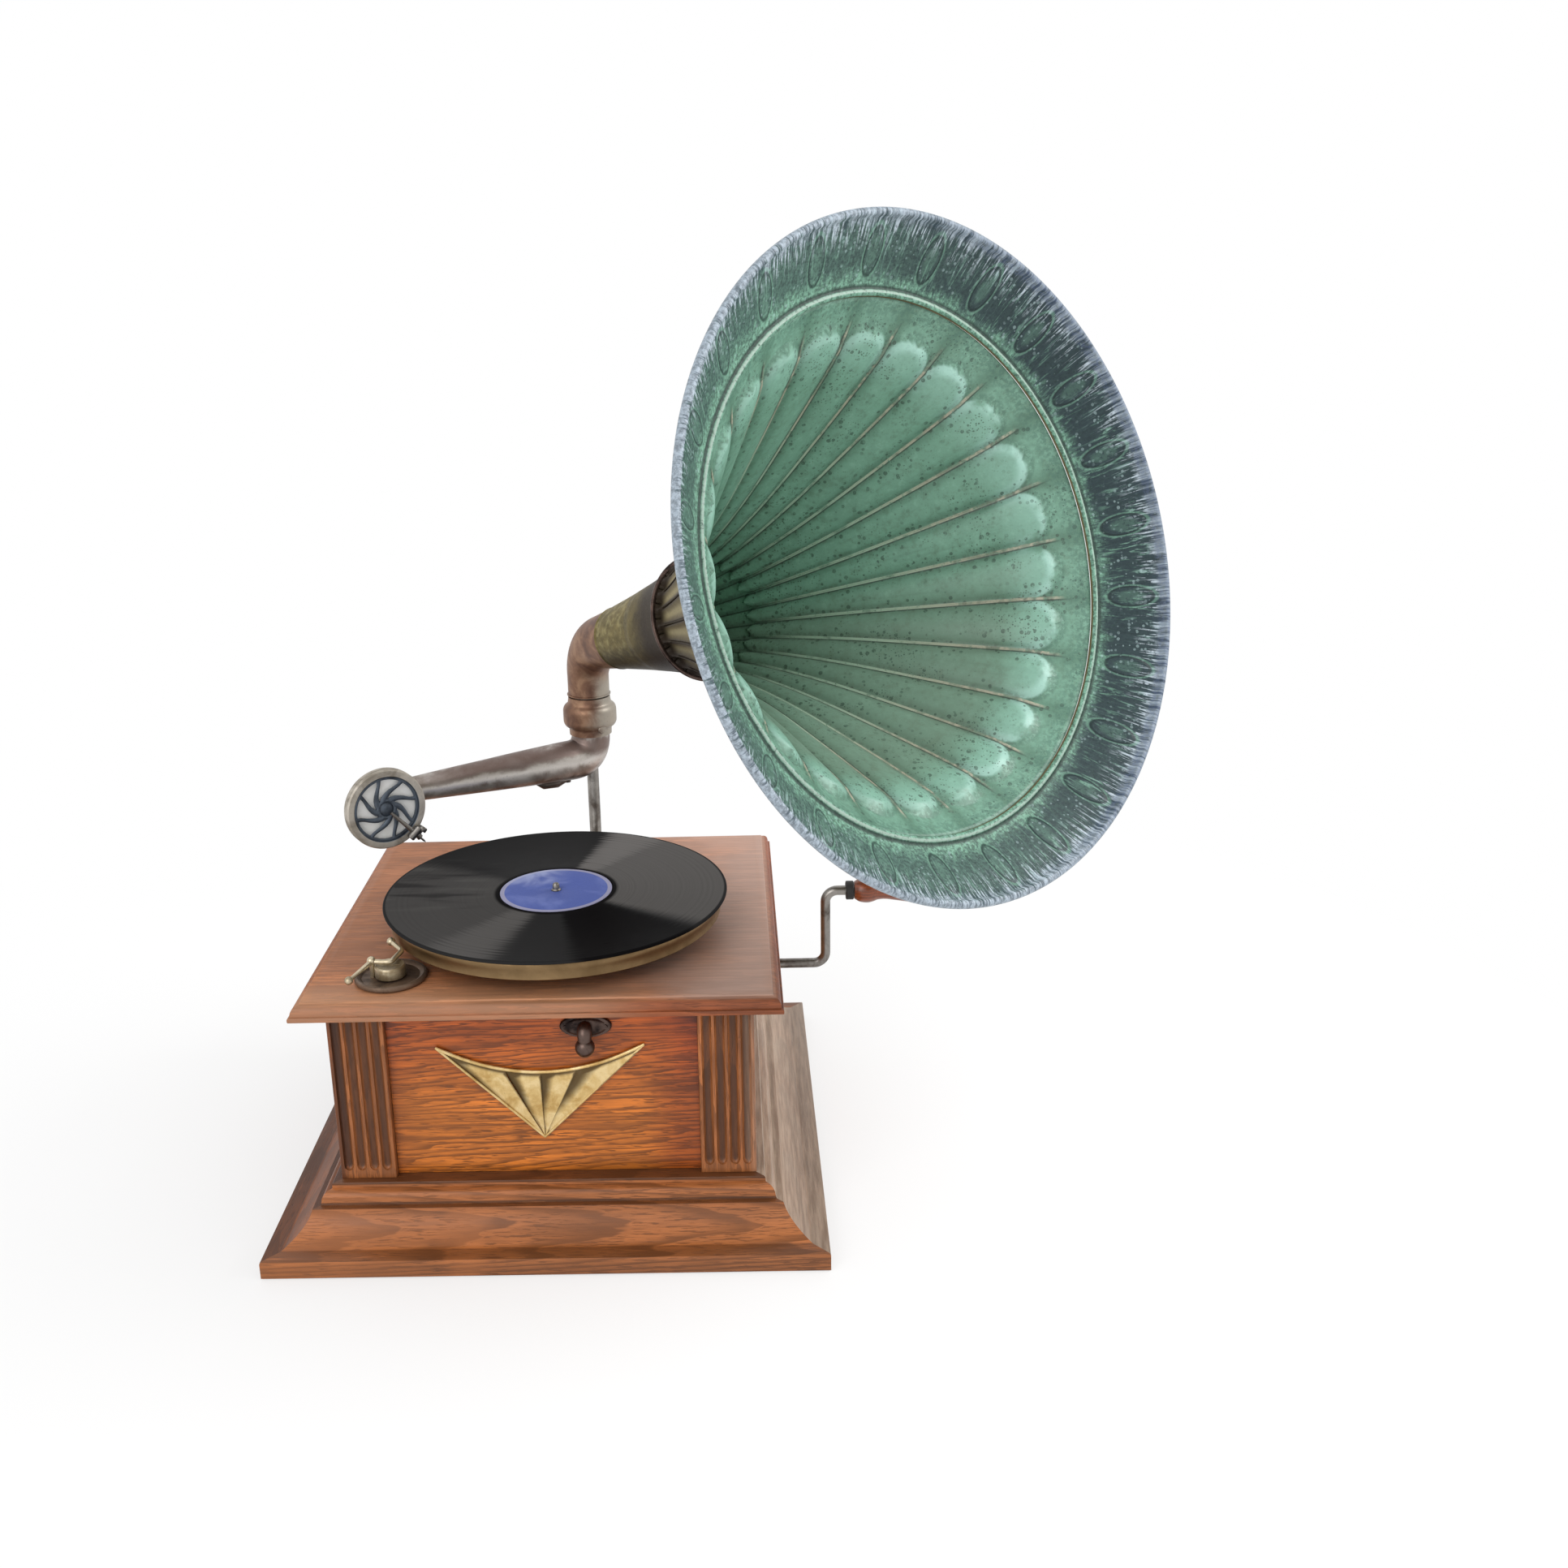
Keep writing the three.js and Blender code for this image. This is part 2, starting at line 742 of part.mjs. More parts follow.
function makeBarrel() {
  const drum = turned(
    [
      [7, barrelBottom],
      [barrelRadius, barrelBottom],
      [barrelRadius, barrelTop],
      [barrelRadius - 2, barrelTop],
      [barrelRadius - 2, barrelBottom + 3],
      [7, barrelBottom + 3],
      [7, barrelBottom],
    ],
    24,
  );
  const rimShape = gearShape(barrelTeeth, barrelModule);
  rimShape.holes.push(roundHole(barrelRadius - 1));
  const rim = flatPlate(rimShape, 5, 8).translate(0, 0, barrelBottom);
  addMesh("barrel_drum", join(drum, rim).translate(barrelX, barrelY, 0), brass);
  const cover = bush(barrelRadius, 7, barrelTop + gap, barrelTop + 2.3, 28);
  addMesh("barrel_cover", cover.translate(barrelX, barrelY, 0), steel);

  const turns = 3;
  const steps = turns * 14;
  const rings = [];
  for (let i = 0; i <= steps; i++) {
    const turn = (2 * Math.PI * turns * i) / steps;
    const radius = 9 + (barrelRadius - 4 - 9) * (i / steps);
    const corner = (r, z) => new THREE.Vector3(r * Math.cos(turn), r * Math.sin(turn), z);
    rings.push([
      corner(radius, barrelBottom + 4),
      corner(radius + 1.2, barrelBottom + 4),
      corner(radius + 1.2, barrelTop - 1),
      corner(radius, barrelTop - 1),
    ]);
  }
  addMesh("mainspring", skinRings(rings.reverse()).translate(barrelX, barrelY, 0), springSteel);

  const arbor = turned(
    [
      [0, lowerPlateZ],
      [1.6, lowerPlateZ],
      [1.6, lowerPlateZ + plateThickness + gap],
      [6.5, lowerPlateZ + plateThickness + gap],
      [6.5, 126],
      [4.5, 126],
      [4.5, plateTopZ - plateThickness - gap],
      [1.6, plateTopZ - plateThickness - gap],
      [1.6, plateTopZ - 1],
      [0, plateTopZ - 1],
    ],
    14,
  );
  addMesh("barrel_arbor", arbor.translate(barrelX, barrelY, 0), steel);
}

// Crown gear on the barrel arbor and the pinion of the crank shaft that turns it
const crownRadius = (windingModule * crownTeeth) / 2;
const windingPitchZ = crankHeight - (windingModule * windingPinionTeeth) / 2;

function makeWindingGears() {
  const faceWidth = 6;
  const floor = windingPitchZ - 1.1 * windingModule;
  const disc = bush(crownRadius + faceWidth / 2, 4.8, floor - 3.6, floor, 24);
  const teeth = [];
  for (let k = 0; k < crownTeeth; k++) {
    const profile = new THREE.Shape();
    const halfBase = 0.74 * windingModule;
    const halfTip = 0.34 * windingModule;
    const height = 1.7 * windingModule;
    profile.moveTo(-halfBase, -0.5).lineTo(halfBase, -0.5).lineTo(halfTip, height).lineTo(-halfTip, height);
    profile.closePath();
    const tooth = flatPlate(profile, faceWidth);
    tooth.rotateX(Math.PI / 2).rotateZ(-Math.PI / 2);
    tooth.translate(crownRadius - faceWidth / 2, 0, floor);
    tooth.rotateZ(((k + 0.5) * 2 * Math.PI) / crownTeeth);
    teeth.push(tooth);
  }
  addMesh("winding_gear", join(disc, ...teeth).translate(barrelX, barrelY, 0), steel);

  const shape = gearShape(windingPinionTeeth, windingModule, 0.34);
  shape.holes.push(roundHole(crankRodRadius + 0.2));
  const pinion = flatPlate(shape, 8, 8).rotateY(Math.PI / 2);
  pinion.translate(barrelX + crownRadius - 4, crankY, crankHeight);
  addMesh("winding_pinion", pinion, steel);
}

function makeTrain() {
  const wheelZ = 150;
  const pivotTop = plateTopZ - plateThickness - gap;
  const shaft = turned(
    [
      [0, lowerPlateZ],
      [1.6, lowerPlateZ],
      [1.6, lowerPlateZ + plateThickness + gap],
      [3, lowerPlateZ + plateThickness + gap],
      [3, pivotTop],
      [1.6, pivotTop],
      [1.6, plateTopZ - 1],
      [0, plateTopZ - 1],
    ],
    16,
  );
  const towardsBarrel = Math.atan2(barrelY - trainY, barrelX - trainX);
  const pinionTurn = meshTurn(barrelTeeth, trainPinionTeeth, towardsBarrel + Math.PI, 0);
  const pinion = flatPlate(gearShape(trainPinionTeeth, barrelModule), 8);
  pinion.rotateZ(pinionTurn).translate(0, 0, barrelBottom - 1.5);
  addMesh("train_arbor", join(shaft, pinion).translate(trainX, trainY, 0), steel);

  const wheelShape = gearShape(trainWheelTeeth, trainModule);
  wheelShape.holes.push(roundHole(3.2));
  const towardsSpindle = Math.atan2(spindleY - trainY, spindleX - trainX);
  const wheelTurn = meshTurn(spindlePinionTeeth, trainWheelTeeth, towardsSpindle + Math.PI, 0);
  const wheel = flatPlate(wheelShape, 4, 8).rotateZ(wheelTurn).translate(trainX, trainY, wheelZ + 0.5);
  addMesh("train_wheel", wheel, brass);
}

// Turn of a gear so that its gap meets a tooth of its mate; the line runs from the mate to the gear
function meshTurn(mateTeeth, teeth, lineAngle, mateTurn) {
  const matePhase = ((lineAngle - mateTurn) * mateTeeth) / (2 * Math.PI);
  const toothOff = matePhase - Math.round(matePhase);
  const step = (2 * Math.PI) / teeth;
  return lineAngle + Math.PI + step / 2 + toothOff * step;
}

// Governor: a worm driven by the spindle's wheel, three sprung weights and the friction disc
function makeGovernor() {
  const wheelShape = new THREE.Shape();
  const step = (2 * Math.PI) / wormWheelTeeth;
  const rootRadius = wormWheelPitchRadius - 1.3;
  const tipRadius = wormWheelPitchRadius + 0.9;
  for (let k = 0; k < wormWheelTeeth; k++) {
    const corners = [
      [rootRadius, -0.2],
      [tipRadius, -0.07],
      [tipRadius, 0.07],
      [rootRadius, 0.2],
    ];
    corners.forEach(([radius, share], i) => {
      const turn = (k + share) * step;
      const x = radius * Math.cos(turn);
      const y = radius * Math.sin(turn);
      if (k === 0 && i === 0) wheelShape.moveTo(x, y);
      else wheelShape.lineTo(x, y);
    });
  }
  wheelShape.closePath();
  wheelShape.holes.push(roundHole(spindleRadius + 0.2));
  const wheel = flatPlate(wheelShape, 3, 8).rotateZ(Math.PI + step / 2);
  addMesh("worm_wheel", wheel.translate(spindleX, spindleY, wormZ - 1.5), brass);

  // The thread is swept as a helix about Z, then laid along Y with its middle beside the spindle
  const rings = [];
  const turns = 2.6;
  const perTurn = 10;
  const inner = wormRadius - 1.7;
  const outer = wormRadius + 0.8;
  for (let i = 0; i <= turns * perTurn; i++) {
    const turn = (2 * Math.PI * i) / perTurn;
    const lift = wormPitch * (i / perTurn - turns / 2);
    const corner = (r, z) => new THREE.Vector3(r * Math.cos(turn), r * Math.sin(turn), z + lift);
    rings.push([corner(inner, -1), corner(outer, -0.45), corner(outer, 0.45), corner(inner, 1)]);
  }
  const thread = skinRings(rings.reverse()).rotateZ(threadTurn);
  const core = rod(inner + 0.2, -9, 9, 20).rotateZ(threadTurn);
  const middle = spindleY;
  const shaft = turned(
    [
      [0, -73.5 - middle],
      [1.6, -73.5 - middle],
      [1.6, -69 - middle],
      [2.6, -69 - middle],
      [2.6, 45 - middle],
      [1.6, 45 - middle],
      [1.6, 49.5 - middle],
      [0, 49.5 - middle],
    ],
    10,
  );
  const worm = join(core, thread, shaft).rotateX(-Math.PI / 2);
  addMesh("governor_worm", worm.translate(governorX, middle, wormZ), steel);

  const collars = [
    [-8, -3],
    [32, 37],
  ].map(([y0, y1]) => cut(rodY(6, y0, y1, 12), rodY(2.9, y0 - 1, y1 + 1, 12)));
  const parts = [...collars];
  for (let k = 0; k < 3; k++) {
    const turn = (k * 2 * Math.PI) / 3;
    const path = [-6, 3, 14.5, 26, 35].map((y, i) => {
      const bow = [4.6, 9, 12, 9, 4.6][i];
      return new THREE.Vector3(0, y, bow);
    });
    const leaf = skinRings(
      path.reverse().map((p) => [
        new THREE.Vector3(-2.4, p.y, p.z - 0.4),
        new THREE.Vector3(2.4, p.y, p.z - 0.4),
        new THREE.Vector3(2.4, p.y, p.z + 0.4),
        new THREE.Vector3(-2.4, p.y, p.z + 0.4),
      ]),
    );
    const weight = new THREE.SphereGeometry(5, 8, 6).translate(0, 14.5, 13.5);
    parts.push(leaf.rotateY(turn), weight.rotateY(turn));
  }
  const weights = join(...parts).translate(governorX, 0, wormZ);
  addMesh("governor_weights", weights, brass);
  const disc = cut(rodY(15, 39, 41.5, 24), rodY(2.9, 36, 44, 12));
  addMesh("governor_disc", disc.translate(governorX, 0, wormZ), brass);
}

// Crank: bent steel rod, black ferrule and turned wooden grip
function makeCrank() {
  const corner = (x, z) => new THREE.Vector3(x, crankY, z);
  const path = roundedPath(
    [
      corner(68, crankHeight),
      corner(crankArmX, crankHeight),
      corner(crankArmX, crankHeight + crankThrow),
      corner(handleStart + handleLength - 10, crankHeight + crankThrow),
    ],
    9,
    4,
  );
  const wide = path.map((point) => (point.x > handleStart - 1 ? 2.4 : crankRodRadius));
  const shoulder = path.length - 1;
  path.splice(
    shoulder,
    0,
    corner(handleStart - 2, crankHeight + crankThrow),
    corner(handleStart - 1.9, crankHeight + crankThrow),
  );
  wide.splice(shoulder, 0, crankRodRadius, 2.4);
  addMesh("crank_rod", solidPipe(path, wide, 14), steel);

  const escutcheon = bush(15, crankRodRadius + 0.6, 0, 3, 28).rotateY(Math.PI / 2);
  escutcheon.translate(caseHalfWidth - panelRecess + gap, crankY, crankHeight);
  addMesh("crank_escutcheon", escutcheon, brass);

  const ferrule = bush(7.2, 2.7, handleStart - 1.5, handleStart + 4.5, 20).rotateY(Math.PI / 2);
  addMesh("crank_ferrule", ferrule.translate(0, crankY, crankHeight + crankThrow), blackRubber);

  const from = handleStart + 5;
  const bore = 2.75;
  const grip = [
    [bore, from],
    [6.8, from],
    [9.2, from + 5],
    [9.8, from + 10],
    [8, from + 17],
    [7.4, from + 23],
    [9, from + 36],
    [10.8, from + 52],
    [10.6, from + 64],
    [8, from + 73],
    [4.5, from + handleLength - 8],
    [bore, from + handleLength - 8],
    [bore, from],
  ];
  const handle = turned(grip, 18).rotateY(Math.PI / 2);
  addMesh("crank_handle", handle.translate(0, crankY, crankHeight + crankThrow), handleWood);
}

// Support rod with its foot, and the fixed sleeve that carries the horn
function makeSupport() {
  const post = rod(rodRadius, deckTop + gap, rodTop, 20);
  const shoulder = rod(rodRadius + 2.6, deckTop + gap, deckTop + 9, 20);
  addMesh("support_rod", join(post, shoulder).translate(pivotX, pivotY, 0), agedNickel);
  const flange = bush(19, rodRadius + 2.9, deckTop + gap, deckTop + 4, 28);
  addMesh("rod_flange", flange.translate(pivotX, pivotY, 0), agedNickel);
  const ringZ = 309;
  const sleeve = bush(sleeveRadius, sleeveBore, ringZ, sleeveTop, 28);
  const hub = rod(8, rodTop - 8 + gap, rodTop + 8, 20);
  const hubBore = rod(rodRadius + 0.15, rodTop - 20, rodTop + gap, 20);
  const spokes = [0, 1, 2].map((k) =>
    block(5, sleeveBore + 0.8, -1.5, 1.5, ringZ + 1, ringZ + 8).rotateZ((k * 2 * Math.PI) / 3),
  );
  const socket = cut(join(sleeve, hub, ...spokes), hubBore);
  addMesh("horn_socket", socket.translate(pivotX, pivotY, 0), agedNickel);
}

const armTurn = (armAngle * Math.PI) / 180;
const armDirection = new THREE.Vector3(Math.cos(armTurn), Math.sin(armTurn), 0);
const faceDirection = new THREE.Vector3(-Math.sin(armTurn), Math.cos(armTurn), 0);

// Ball collar that turns on the sleeve and carries the tone arm on two trunnion pins
function makeCollar() {
  const ball = [];
  const steps = 5;
  const middle = (collarBottom + collarTop) / 2;
  for (let i = 0; i <= steps; i++) {
    const z = collarBottom + ((collarTop - collarBottom) * i) / steps;
    const off = (z - middle) / ((collarTop - collarBottom) / 2);
    ball.push([17.6 + (collarRadius - 17.6) * Math.sqrt(1 - 0.94 * off * off), z]);
  }
  const socketRadius = 17.2;
  const profile = [
    [socketRadius, collarBottom],
    ...ball,
    [sleeveRadius + 0.4, collarTop],
    [sleeveRadius + 0.4, 306],
    [socketRadius, 306],
    [socketRadius, collarBottom],
  ];
  const shell = turned(profile, 20);
  const pins = [1, -1].map((side) => {
    const pin = rodY(1.5, side > 0 ? 12.6 : -18.5, side > 0 ? 18.5 : -12.6, 14);
    return pin.translate(0, 0, dipHeight);
  });
  const screw = rodY(3.4, -collarRadius - 1, -collarRadius + 3, 14).translate(0, 0, dipHeight + 4);
  const collar = join(shell, ...pins, screw).rotateZ(armTurn);
  addMesh("swivel_collar", collar.translate(pivotX, pivotY, 0), agedNickel);
}

// Tone arm: an elbow under the collar and a tapered tube out to the sound box
function makeToneArm() {
  const at = (along, z) => new THREE.Vector3(along, 0, z);
  const path = [
    at(0, 303),
    at(0, 294),
    at(0.6, 287),
    at(3.4, 279.5),
    at(9, 274),
    at(17, 271.8),
    at(30, 272),
    at(100, 273.2),
    at(armLength, soundboxHeight),
  ];
  const radii = [15.5, 15.5, 15.6, 15.8, 15.9, 15.5, 14.8, 10.7, 7.4];
  const tube = hollowPipe(path, radii, 1.4, 14);
  const slot = new THREE.Shape();
  slot.absellipse(0, 0, 9.4, 5.9, 0, 2 * Math.PI);
  const rodSlot = flatPlate(slot, 40, 16).translate(0, 0, 245);
  const pinHoles = rodY(1.85, -20, 20, 14).translate(0, 0, dipHeight);
  const lug = rodY(2.6, -6, 6, 10).translate(26, 0, 257);
  const arm = join(cut(tube, rodSlot, pinHoles), lug);
  arm.rotateZ(armTurn).translate(pivotX, pivotY, 0);
  addMesh("tonearm_tube", arm, agedNickel);
}

const soundboxCentre = new THREE.Vector3(pivotX, pivotY, soundboxHeight)
  .addScaledVector(armDirection, soundboxReach)
  .addScaledVector(faceDirection, soundboxOffset);

// Pieces of the sound box are drawn facing +Z with the arm's tip towards -X, then stood up in place
function placeOnArm(geometry) {
  const outward = armDirection.clone().negate();
  const basis = new THREE.Matrix4().makeBasis(
    outward,
    new THREE.Vector3().crossVectors(faceDirection, outward),
    faceDirection,
  );
  return geometry.applyMatrix4(basis).translate(soundboxCentre.x, soundboxCentre.y, soundboxCentre.z);
}

function makeSoundbox() {
  const back = -soundboxDepth;
  const armEnd = new THREE.Vector3(soundboxReach - armLength - 0.5, 0, -soundboxOffset);
  const crookPath = roundedPath(
    [armEnd, new THREE.Vector3(0, 0, -soundboxOffset), new THREE.Vector3(0, 0, back - gap)],
    11,
    5,
  );
  const crook = hollowPipe(
    crookPath,
    crookPath.map(() => 7),
    1.4,
    12,
  );
  addMesh("soundbox_crook", placeOnArm(crook), agedNickel);

  const shell = turned(
    [
      [6, back],
      [10, back],
      [12, back + 3],
      [soundboxRadius - 2, back + 3.5],
      [soundboxRadius, back + 5],
      [soundboxRadius, 0],
      [soundboxRadius - 5, 0],
      [soundboxRadius - 5, back + 7],
      [6, back + 6],
      [6, back],
    ],
    28,
  );
  addMesh("soundbox_shell", placeOnArm(shell), agedNickel);
  const film = rod(soundboxRadius - 5.4, back + 7.4, back + 8, 28);
  addMesh("diaphragm", placeOnArm(film), mica);
  addMesh("soundbox_grille", placeOnArm(grilleGeometry()), bronze);

  // The stylus bar pivots at the rim and holds the needle below it
  const tip = new THREE.Vector3(22.6, -25.9, 4);
  const rimPoint = new THREE.Vector3(14, -16, 3);
  const bar = solidPipe([new THREE.Vector3(5, -5.5, 2.4), rimPoint, tip], [1.3, 1.8, 2.6], 10);
  const chuck = rod(3.4, -4, 4, 14).rotateX(Math.PI / 2).rotateZ(-0.72).translate(18.6, -21.3, 4.2);
  const thumbscrew = rod(2, -2, 8, 10).rotateY(Math.PI / 2).rotateZ(0.85).translate(20.6, -23.6, 4);
  addMesh("needle_bar", placeOnArm(join(bar, chuck, thumbscrew)), steel);
  const needlePath = [tip.clone().add(new THREE.Vector3(0.3, -0.4, 0)), new THREE.Vector3(26.6, -30.5, 4)];
  addMesh("needle", placeOnArm(solidPipe(needlePath, [0.9, 0.25], 8)), steel);
}

// Pierced front of the sound box: eight swept spokes between a hub and a rim
function grilleGeometry() {
  const spokes = 8;
  const hub = 6;
  const rim = soundboxRadius - 6.5;
  const sweep = 0.55;
  const shape = new THREE.Shape().absarc(0, 0, soundboxRadius - 5.3, 0, 2 * Math.PI);
  for (let k = 0; k < spokes; k++) {
    const window = [];
    const steps = 3;
    for (let i = 0; i <= steps; i++) {
      const radius = hub + ((rim - hub) * i) / steps;
      const turn = (k * 2 * Math.PI) / spokes + (sweep * i) / steps;
      window.push([radius, turn + 1.5 / radius]);
    }
    for (let i = steps; i >= 0; i--) {
      const radius = hub + ((rim - hub) * i) / steps;
      const turn = ((k + 1) * 2 * Math.PI) / spokes + (sweep * i) / steps;
      window.push([radius, turn - 1.5 / radius]);
    }
    const hole = new THREE.Path(
      window.reverse().map(([r, t]) => new THREE.Vector2(r * Math.cos(t), r * Math.sin(t))),
    );
    shape.holes.push(hole);
  }
  return flatPlate(shape, 1.2, 18).translate(0, 0, -2.2);
}

// Horn pieces are drawn along +Z from the elbow's corner, then laid along the horn's axis
const azimuth = (hornAzimuth * Math.PI) / 180;
const elevation = (hornElevation * Math.PI) / 180;
const hornAxis = new THREE.Vector3(
  Math.cos(azimuth) * Math.cos(elevation),
  Math.sin(azimuth) * Math.cos(elevation),
  Math.sin(elevation),
);
const hornRight = new THREE.Vector3(-Math.sin(azimuth), Math.cos(azimuth), 0);
const hornUp = new THREE.Vector3().crossVectors(hornAxis, hornRight);
const hornGroup = new THREE.Group();
hornGroup.position.set(pivotX, pivotY, elbowHeight);
hornGroup.quaternion.setFromRotationMatrix(
  new THREE.Matrix4().makeBasis(hornRight, hornUp, hornAxis),
);
root.add(hornGroup);

function makeHornElbow() {
  const bend = 22;
  const bottom = new THREE.Vector3(0, 0, collarTop + 1 - elbowHeight);
  const corner = new THREE.Vector3();
  const end = hornAxis.clone().multiplyScalar(neckStart + 12);
  const path = roundedPath([bottom, corner, end], bend, 5);
  const elbow = hollowPipe(
    path,
    path.map(() => pipeRadius),
    pipeRadius - pipeBore,
    18,
  );
  addMesh("horn_elbow", elbow.translate(pivotX, pivotY, elbowHeight), agedNickel);
}

function makeHornNeck() {
  const wall = 1.4;
  const neck = turned(
    [
      [pipeRadius + gap, neckStart],
      [23.2, neckStart],
      [25, neckStart + 12],
      [31, neckEnd - 9],
      [34.8, neckEnd - 6],
      [34.8, neckEnd - 1],
      [32.6, neckEnd + 2],
      [32.4 - wall, neckEnd - 3],
      [25 - wall, neckStart + 14],
      [pipeRadius + gap, neckStart + 12],
      [pipeRadius + gap, neckStart],
    ],
    24,
  );
  addMesh("horn_neck", neck, hornBronze, hornGroup);
}

// Radius of the bell along its axis, as one smooth curve through its measured widths
const bellCurve = new THREE.SplineCurve(
  [
    [neckEnd + 2.4, 33.4],
    [141, 42],
    [200, 62],
    [240, 81],
    [280, 104],
    [320, 128],
    [350, 147.5],
    [hornBeadAt - 0.3, hornBeadRadius],
  ].map(([along, radius]) => new THREE.Vector2(along, radius)),
);

function petalShare(along) {
  const rise = Math.min(Math.max((along - petalStart) / 50, 0), 1);
  const fall = Math.min(Math.max((petalEnd - along) / 16, 0), 1);
  return rise * Math.sqrt(fall);
}

function makeHornBell() {
  const perPetal = 3;
  const count = petalCount * perPetal;
  const stations = [0, 0.16, 0.38, 0.6, 0.82, 0.94, 1].map((t) => bellCurve.getPoint(t));
  const ringAt = (station, inset) => {
    const ring = [];
    const depth = petalDepth * petalShare(station.x) * Math.min(station.y / 110, 1);
    for (let k = 0; k < count; k++) {
      const turn = (2 * Math.PI * k) / count;
      const bulge = Math.abs(Math.sin((petalCount / 2) * turn));
      const radius = station.y - depth * bulge - inset;
      ring.push(new THREE.Vector3(radius * Math.cos(turn), radius * Math.sin(turn), station.x));
    }
    return ring;
  };
  const outside = stations.map((station) => ringAt(station, 0));
  const inside = stations.map((station, i) => ringAt(station, i === 0 ? hornWall : hornWall * 1.35));
  const bell = skinRings([...outside, ...inside.reverse()], true);
  addMesh("horn_bell", bell, hornGreen, hornGroup);
}

function makeHornFlare() {
  const wall = 0.9;
  const profile = [
    [hornBeadRadius - 1.8, hornBeadAt],
    [hornBeadRadius + 3, hornBeadAt + 0.4],
    [180, 383.5],
    [197, 399.5],
    [hornRimRadius, hornLength - 4],
    [hornRimRadius, hornLength],
    [hornRimRadius - 3.4, hornLength],
    [196.6 - wall, 400.4],
    [179.2 - wall, 384],
    [hornBeadRadius - 1.8, hornBeadAt + 2.4],
    [hornBeadRadius - 1.8, hornBeadAt],
  ];
  addMesh("horn_flare", turned(profile, 48), flareBlue, hornGroup);
}

makeBase();
makePanels();
makePilasters();
makeDeck();
makeHinges();
makeFan();
makeCatch();
makeDeckControls();
makeTurntable();
makeMotorFrame();
makeBarrel();
makeWindingGears();
makeTrain();
makeGovernor();
makeCrank();
makeSupport();
makeCollar();
makeToneArm();
makeSoundbox();
makeHornElbow();
makeHornNeck();
makeHornBell();
makeHornFlare();

export default root;
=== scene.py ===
"""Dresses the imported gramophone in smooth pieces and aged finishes, on a plain stage."""

import math

import bmesh
import bpy
from bpy.props import FloatProperty, FloatVectorProperty, IntProperty, PointerProperty
from bpy.types import Operator, Panel, PropertyGroup
from mathutils import Matrix, Vector
from mathutils.geometry import interpolate_bezier


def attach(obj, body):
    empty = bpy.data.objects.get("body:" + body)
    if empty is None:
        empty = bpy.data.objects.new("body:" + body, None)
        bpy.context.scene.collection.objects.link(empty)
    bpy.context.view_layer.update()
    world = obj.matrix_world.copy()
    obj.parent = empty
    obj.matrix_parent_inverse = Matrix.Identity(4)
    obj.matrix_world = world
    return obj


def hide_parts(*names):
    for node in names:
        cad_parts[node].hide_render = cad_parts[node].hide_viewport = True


bl_info = {
    "name": "Horn Gramophone",
    "version": (1, 0, 0),
    "blender": (4, 5, 0),
    "location": "View3D > Sidebar > Gramophone",
    "description": "Builds the pieces and finishes of a wind-up gramophone round its frame",
    "category": "Object",
}

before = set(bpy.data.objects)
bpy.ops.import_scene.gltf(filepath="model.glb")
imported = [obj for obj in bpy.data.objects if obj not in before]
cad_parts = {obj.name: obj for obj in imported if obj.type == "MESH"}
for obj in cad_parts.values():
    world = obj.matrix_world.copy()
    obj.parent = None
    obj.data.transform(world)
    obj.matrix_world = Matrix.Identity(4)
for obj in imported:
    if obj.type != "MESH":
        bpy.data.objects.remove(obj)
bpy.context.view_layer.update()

# One millimetre, in metres
MM = 0.001

# Places of the machine and its levels above the floor, in millimetres
SPINDLE = Vector((3, -31, 0))
PIVOT = Vector((19, 132, 0))
DECK_TOP = 191
RECORD_TOP = 219.2
DIAL = Vector((-104.6, -118, DECK_TOP))
BRAKE = Vector((-117.1, -118.6, 0))
CATCH = Vector((31, -135.3, 161))
CRANK_HEIGHT = 141.5
CRANK_TOP = 201.5
HANDLE_START = 222
COLLAR_TOP = 325
ARM_TURN = math.radians(212.9)
ARM_OUT = Vector((math.cos(ARM_TURN), math.sin(ARM_TURN), 0))
ARM_FACE = Vector((-math.sin(ARM_TURN), math.cos(ARM_TURN), 0))
SOUND_BOX = PIVOT + Vector((0, 0, 274.7)) + ARM_OUT * 193 + ARM_FACE * 34
HORN_CORNER = PIVOT + Vector((0, 0, 366.5))
HORN_AZIMUTH = math.radians(-49.4)
HORN_LIFT = math.radians(16.94)
HORN_AXIS = Vector(
    (
        math.cos(HORN_AZIMUTH) * math.cos(HORN_LIFT),
        math.sin(HORN_AZIMUTH) * math.cos(HORN_LIFT),
        math.sin(HORN_LIFT),
    )
)
HORN_RIGHT = Vector((-math.sin(HORN_AZIMUTH), math.cos(HORN_AZIMUTH), 0))


def place(x_axis, y_axis, z_axis, origin):
    """Matrix with the given axes and an origin in millimetres."""
    turn = Matrix((x_axis, y_axis, z_axis)).transposed().to_4x4()
    return Matrix.Translation(origin * MM) @ turn


HORN_PLACE = place(HORN_RIGHT, HORN_AXIS.cross(HORN_RIGHT), HORN_AXIS, HORN_CORNER)
ARM_PLACE = place(ARM_OUT, Vector((0, 0, 1)).cross(ARM_OUT), Vector((0, 0, 1)), PIVOT)
BOX_PLACE = place(-ARM_OUT, ARM_FACE.cross(-ARM_OUT), ARM_FACE, SOUND_BOX)
ALONG_X = Matrix(((0, 0, 1, 0), (1, 0, 0, 0), (0, 1, 0, 0), (0, 0, 0, 1)))


def moved(x, y, z):
    return Matrix.Translation(Vector((x, y, z)) * MM)


def tint(code):
    """Linear colour of a six-digit colour code."""
    parts = [int(code[i : i + 2], 16) / 255 for i in (0, 2, 4)]
    return tuple(
        p / 12.92 if p <= 0.04045 else ((p + 0.055) / 1.055) ** 2.4 for p in parts
    )


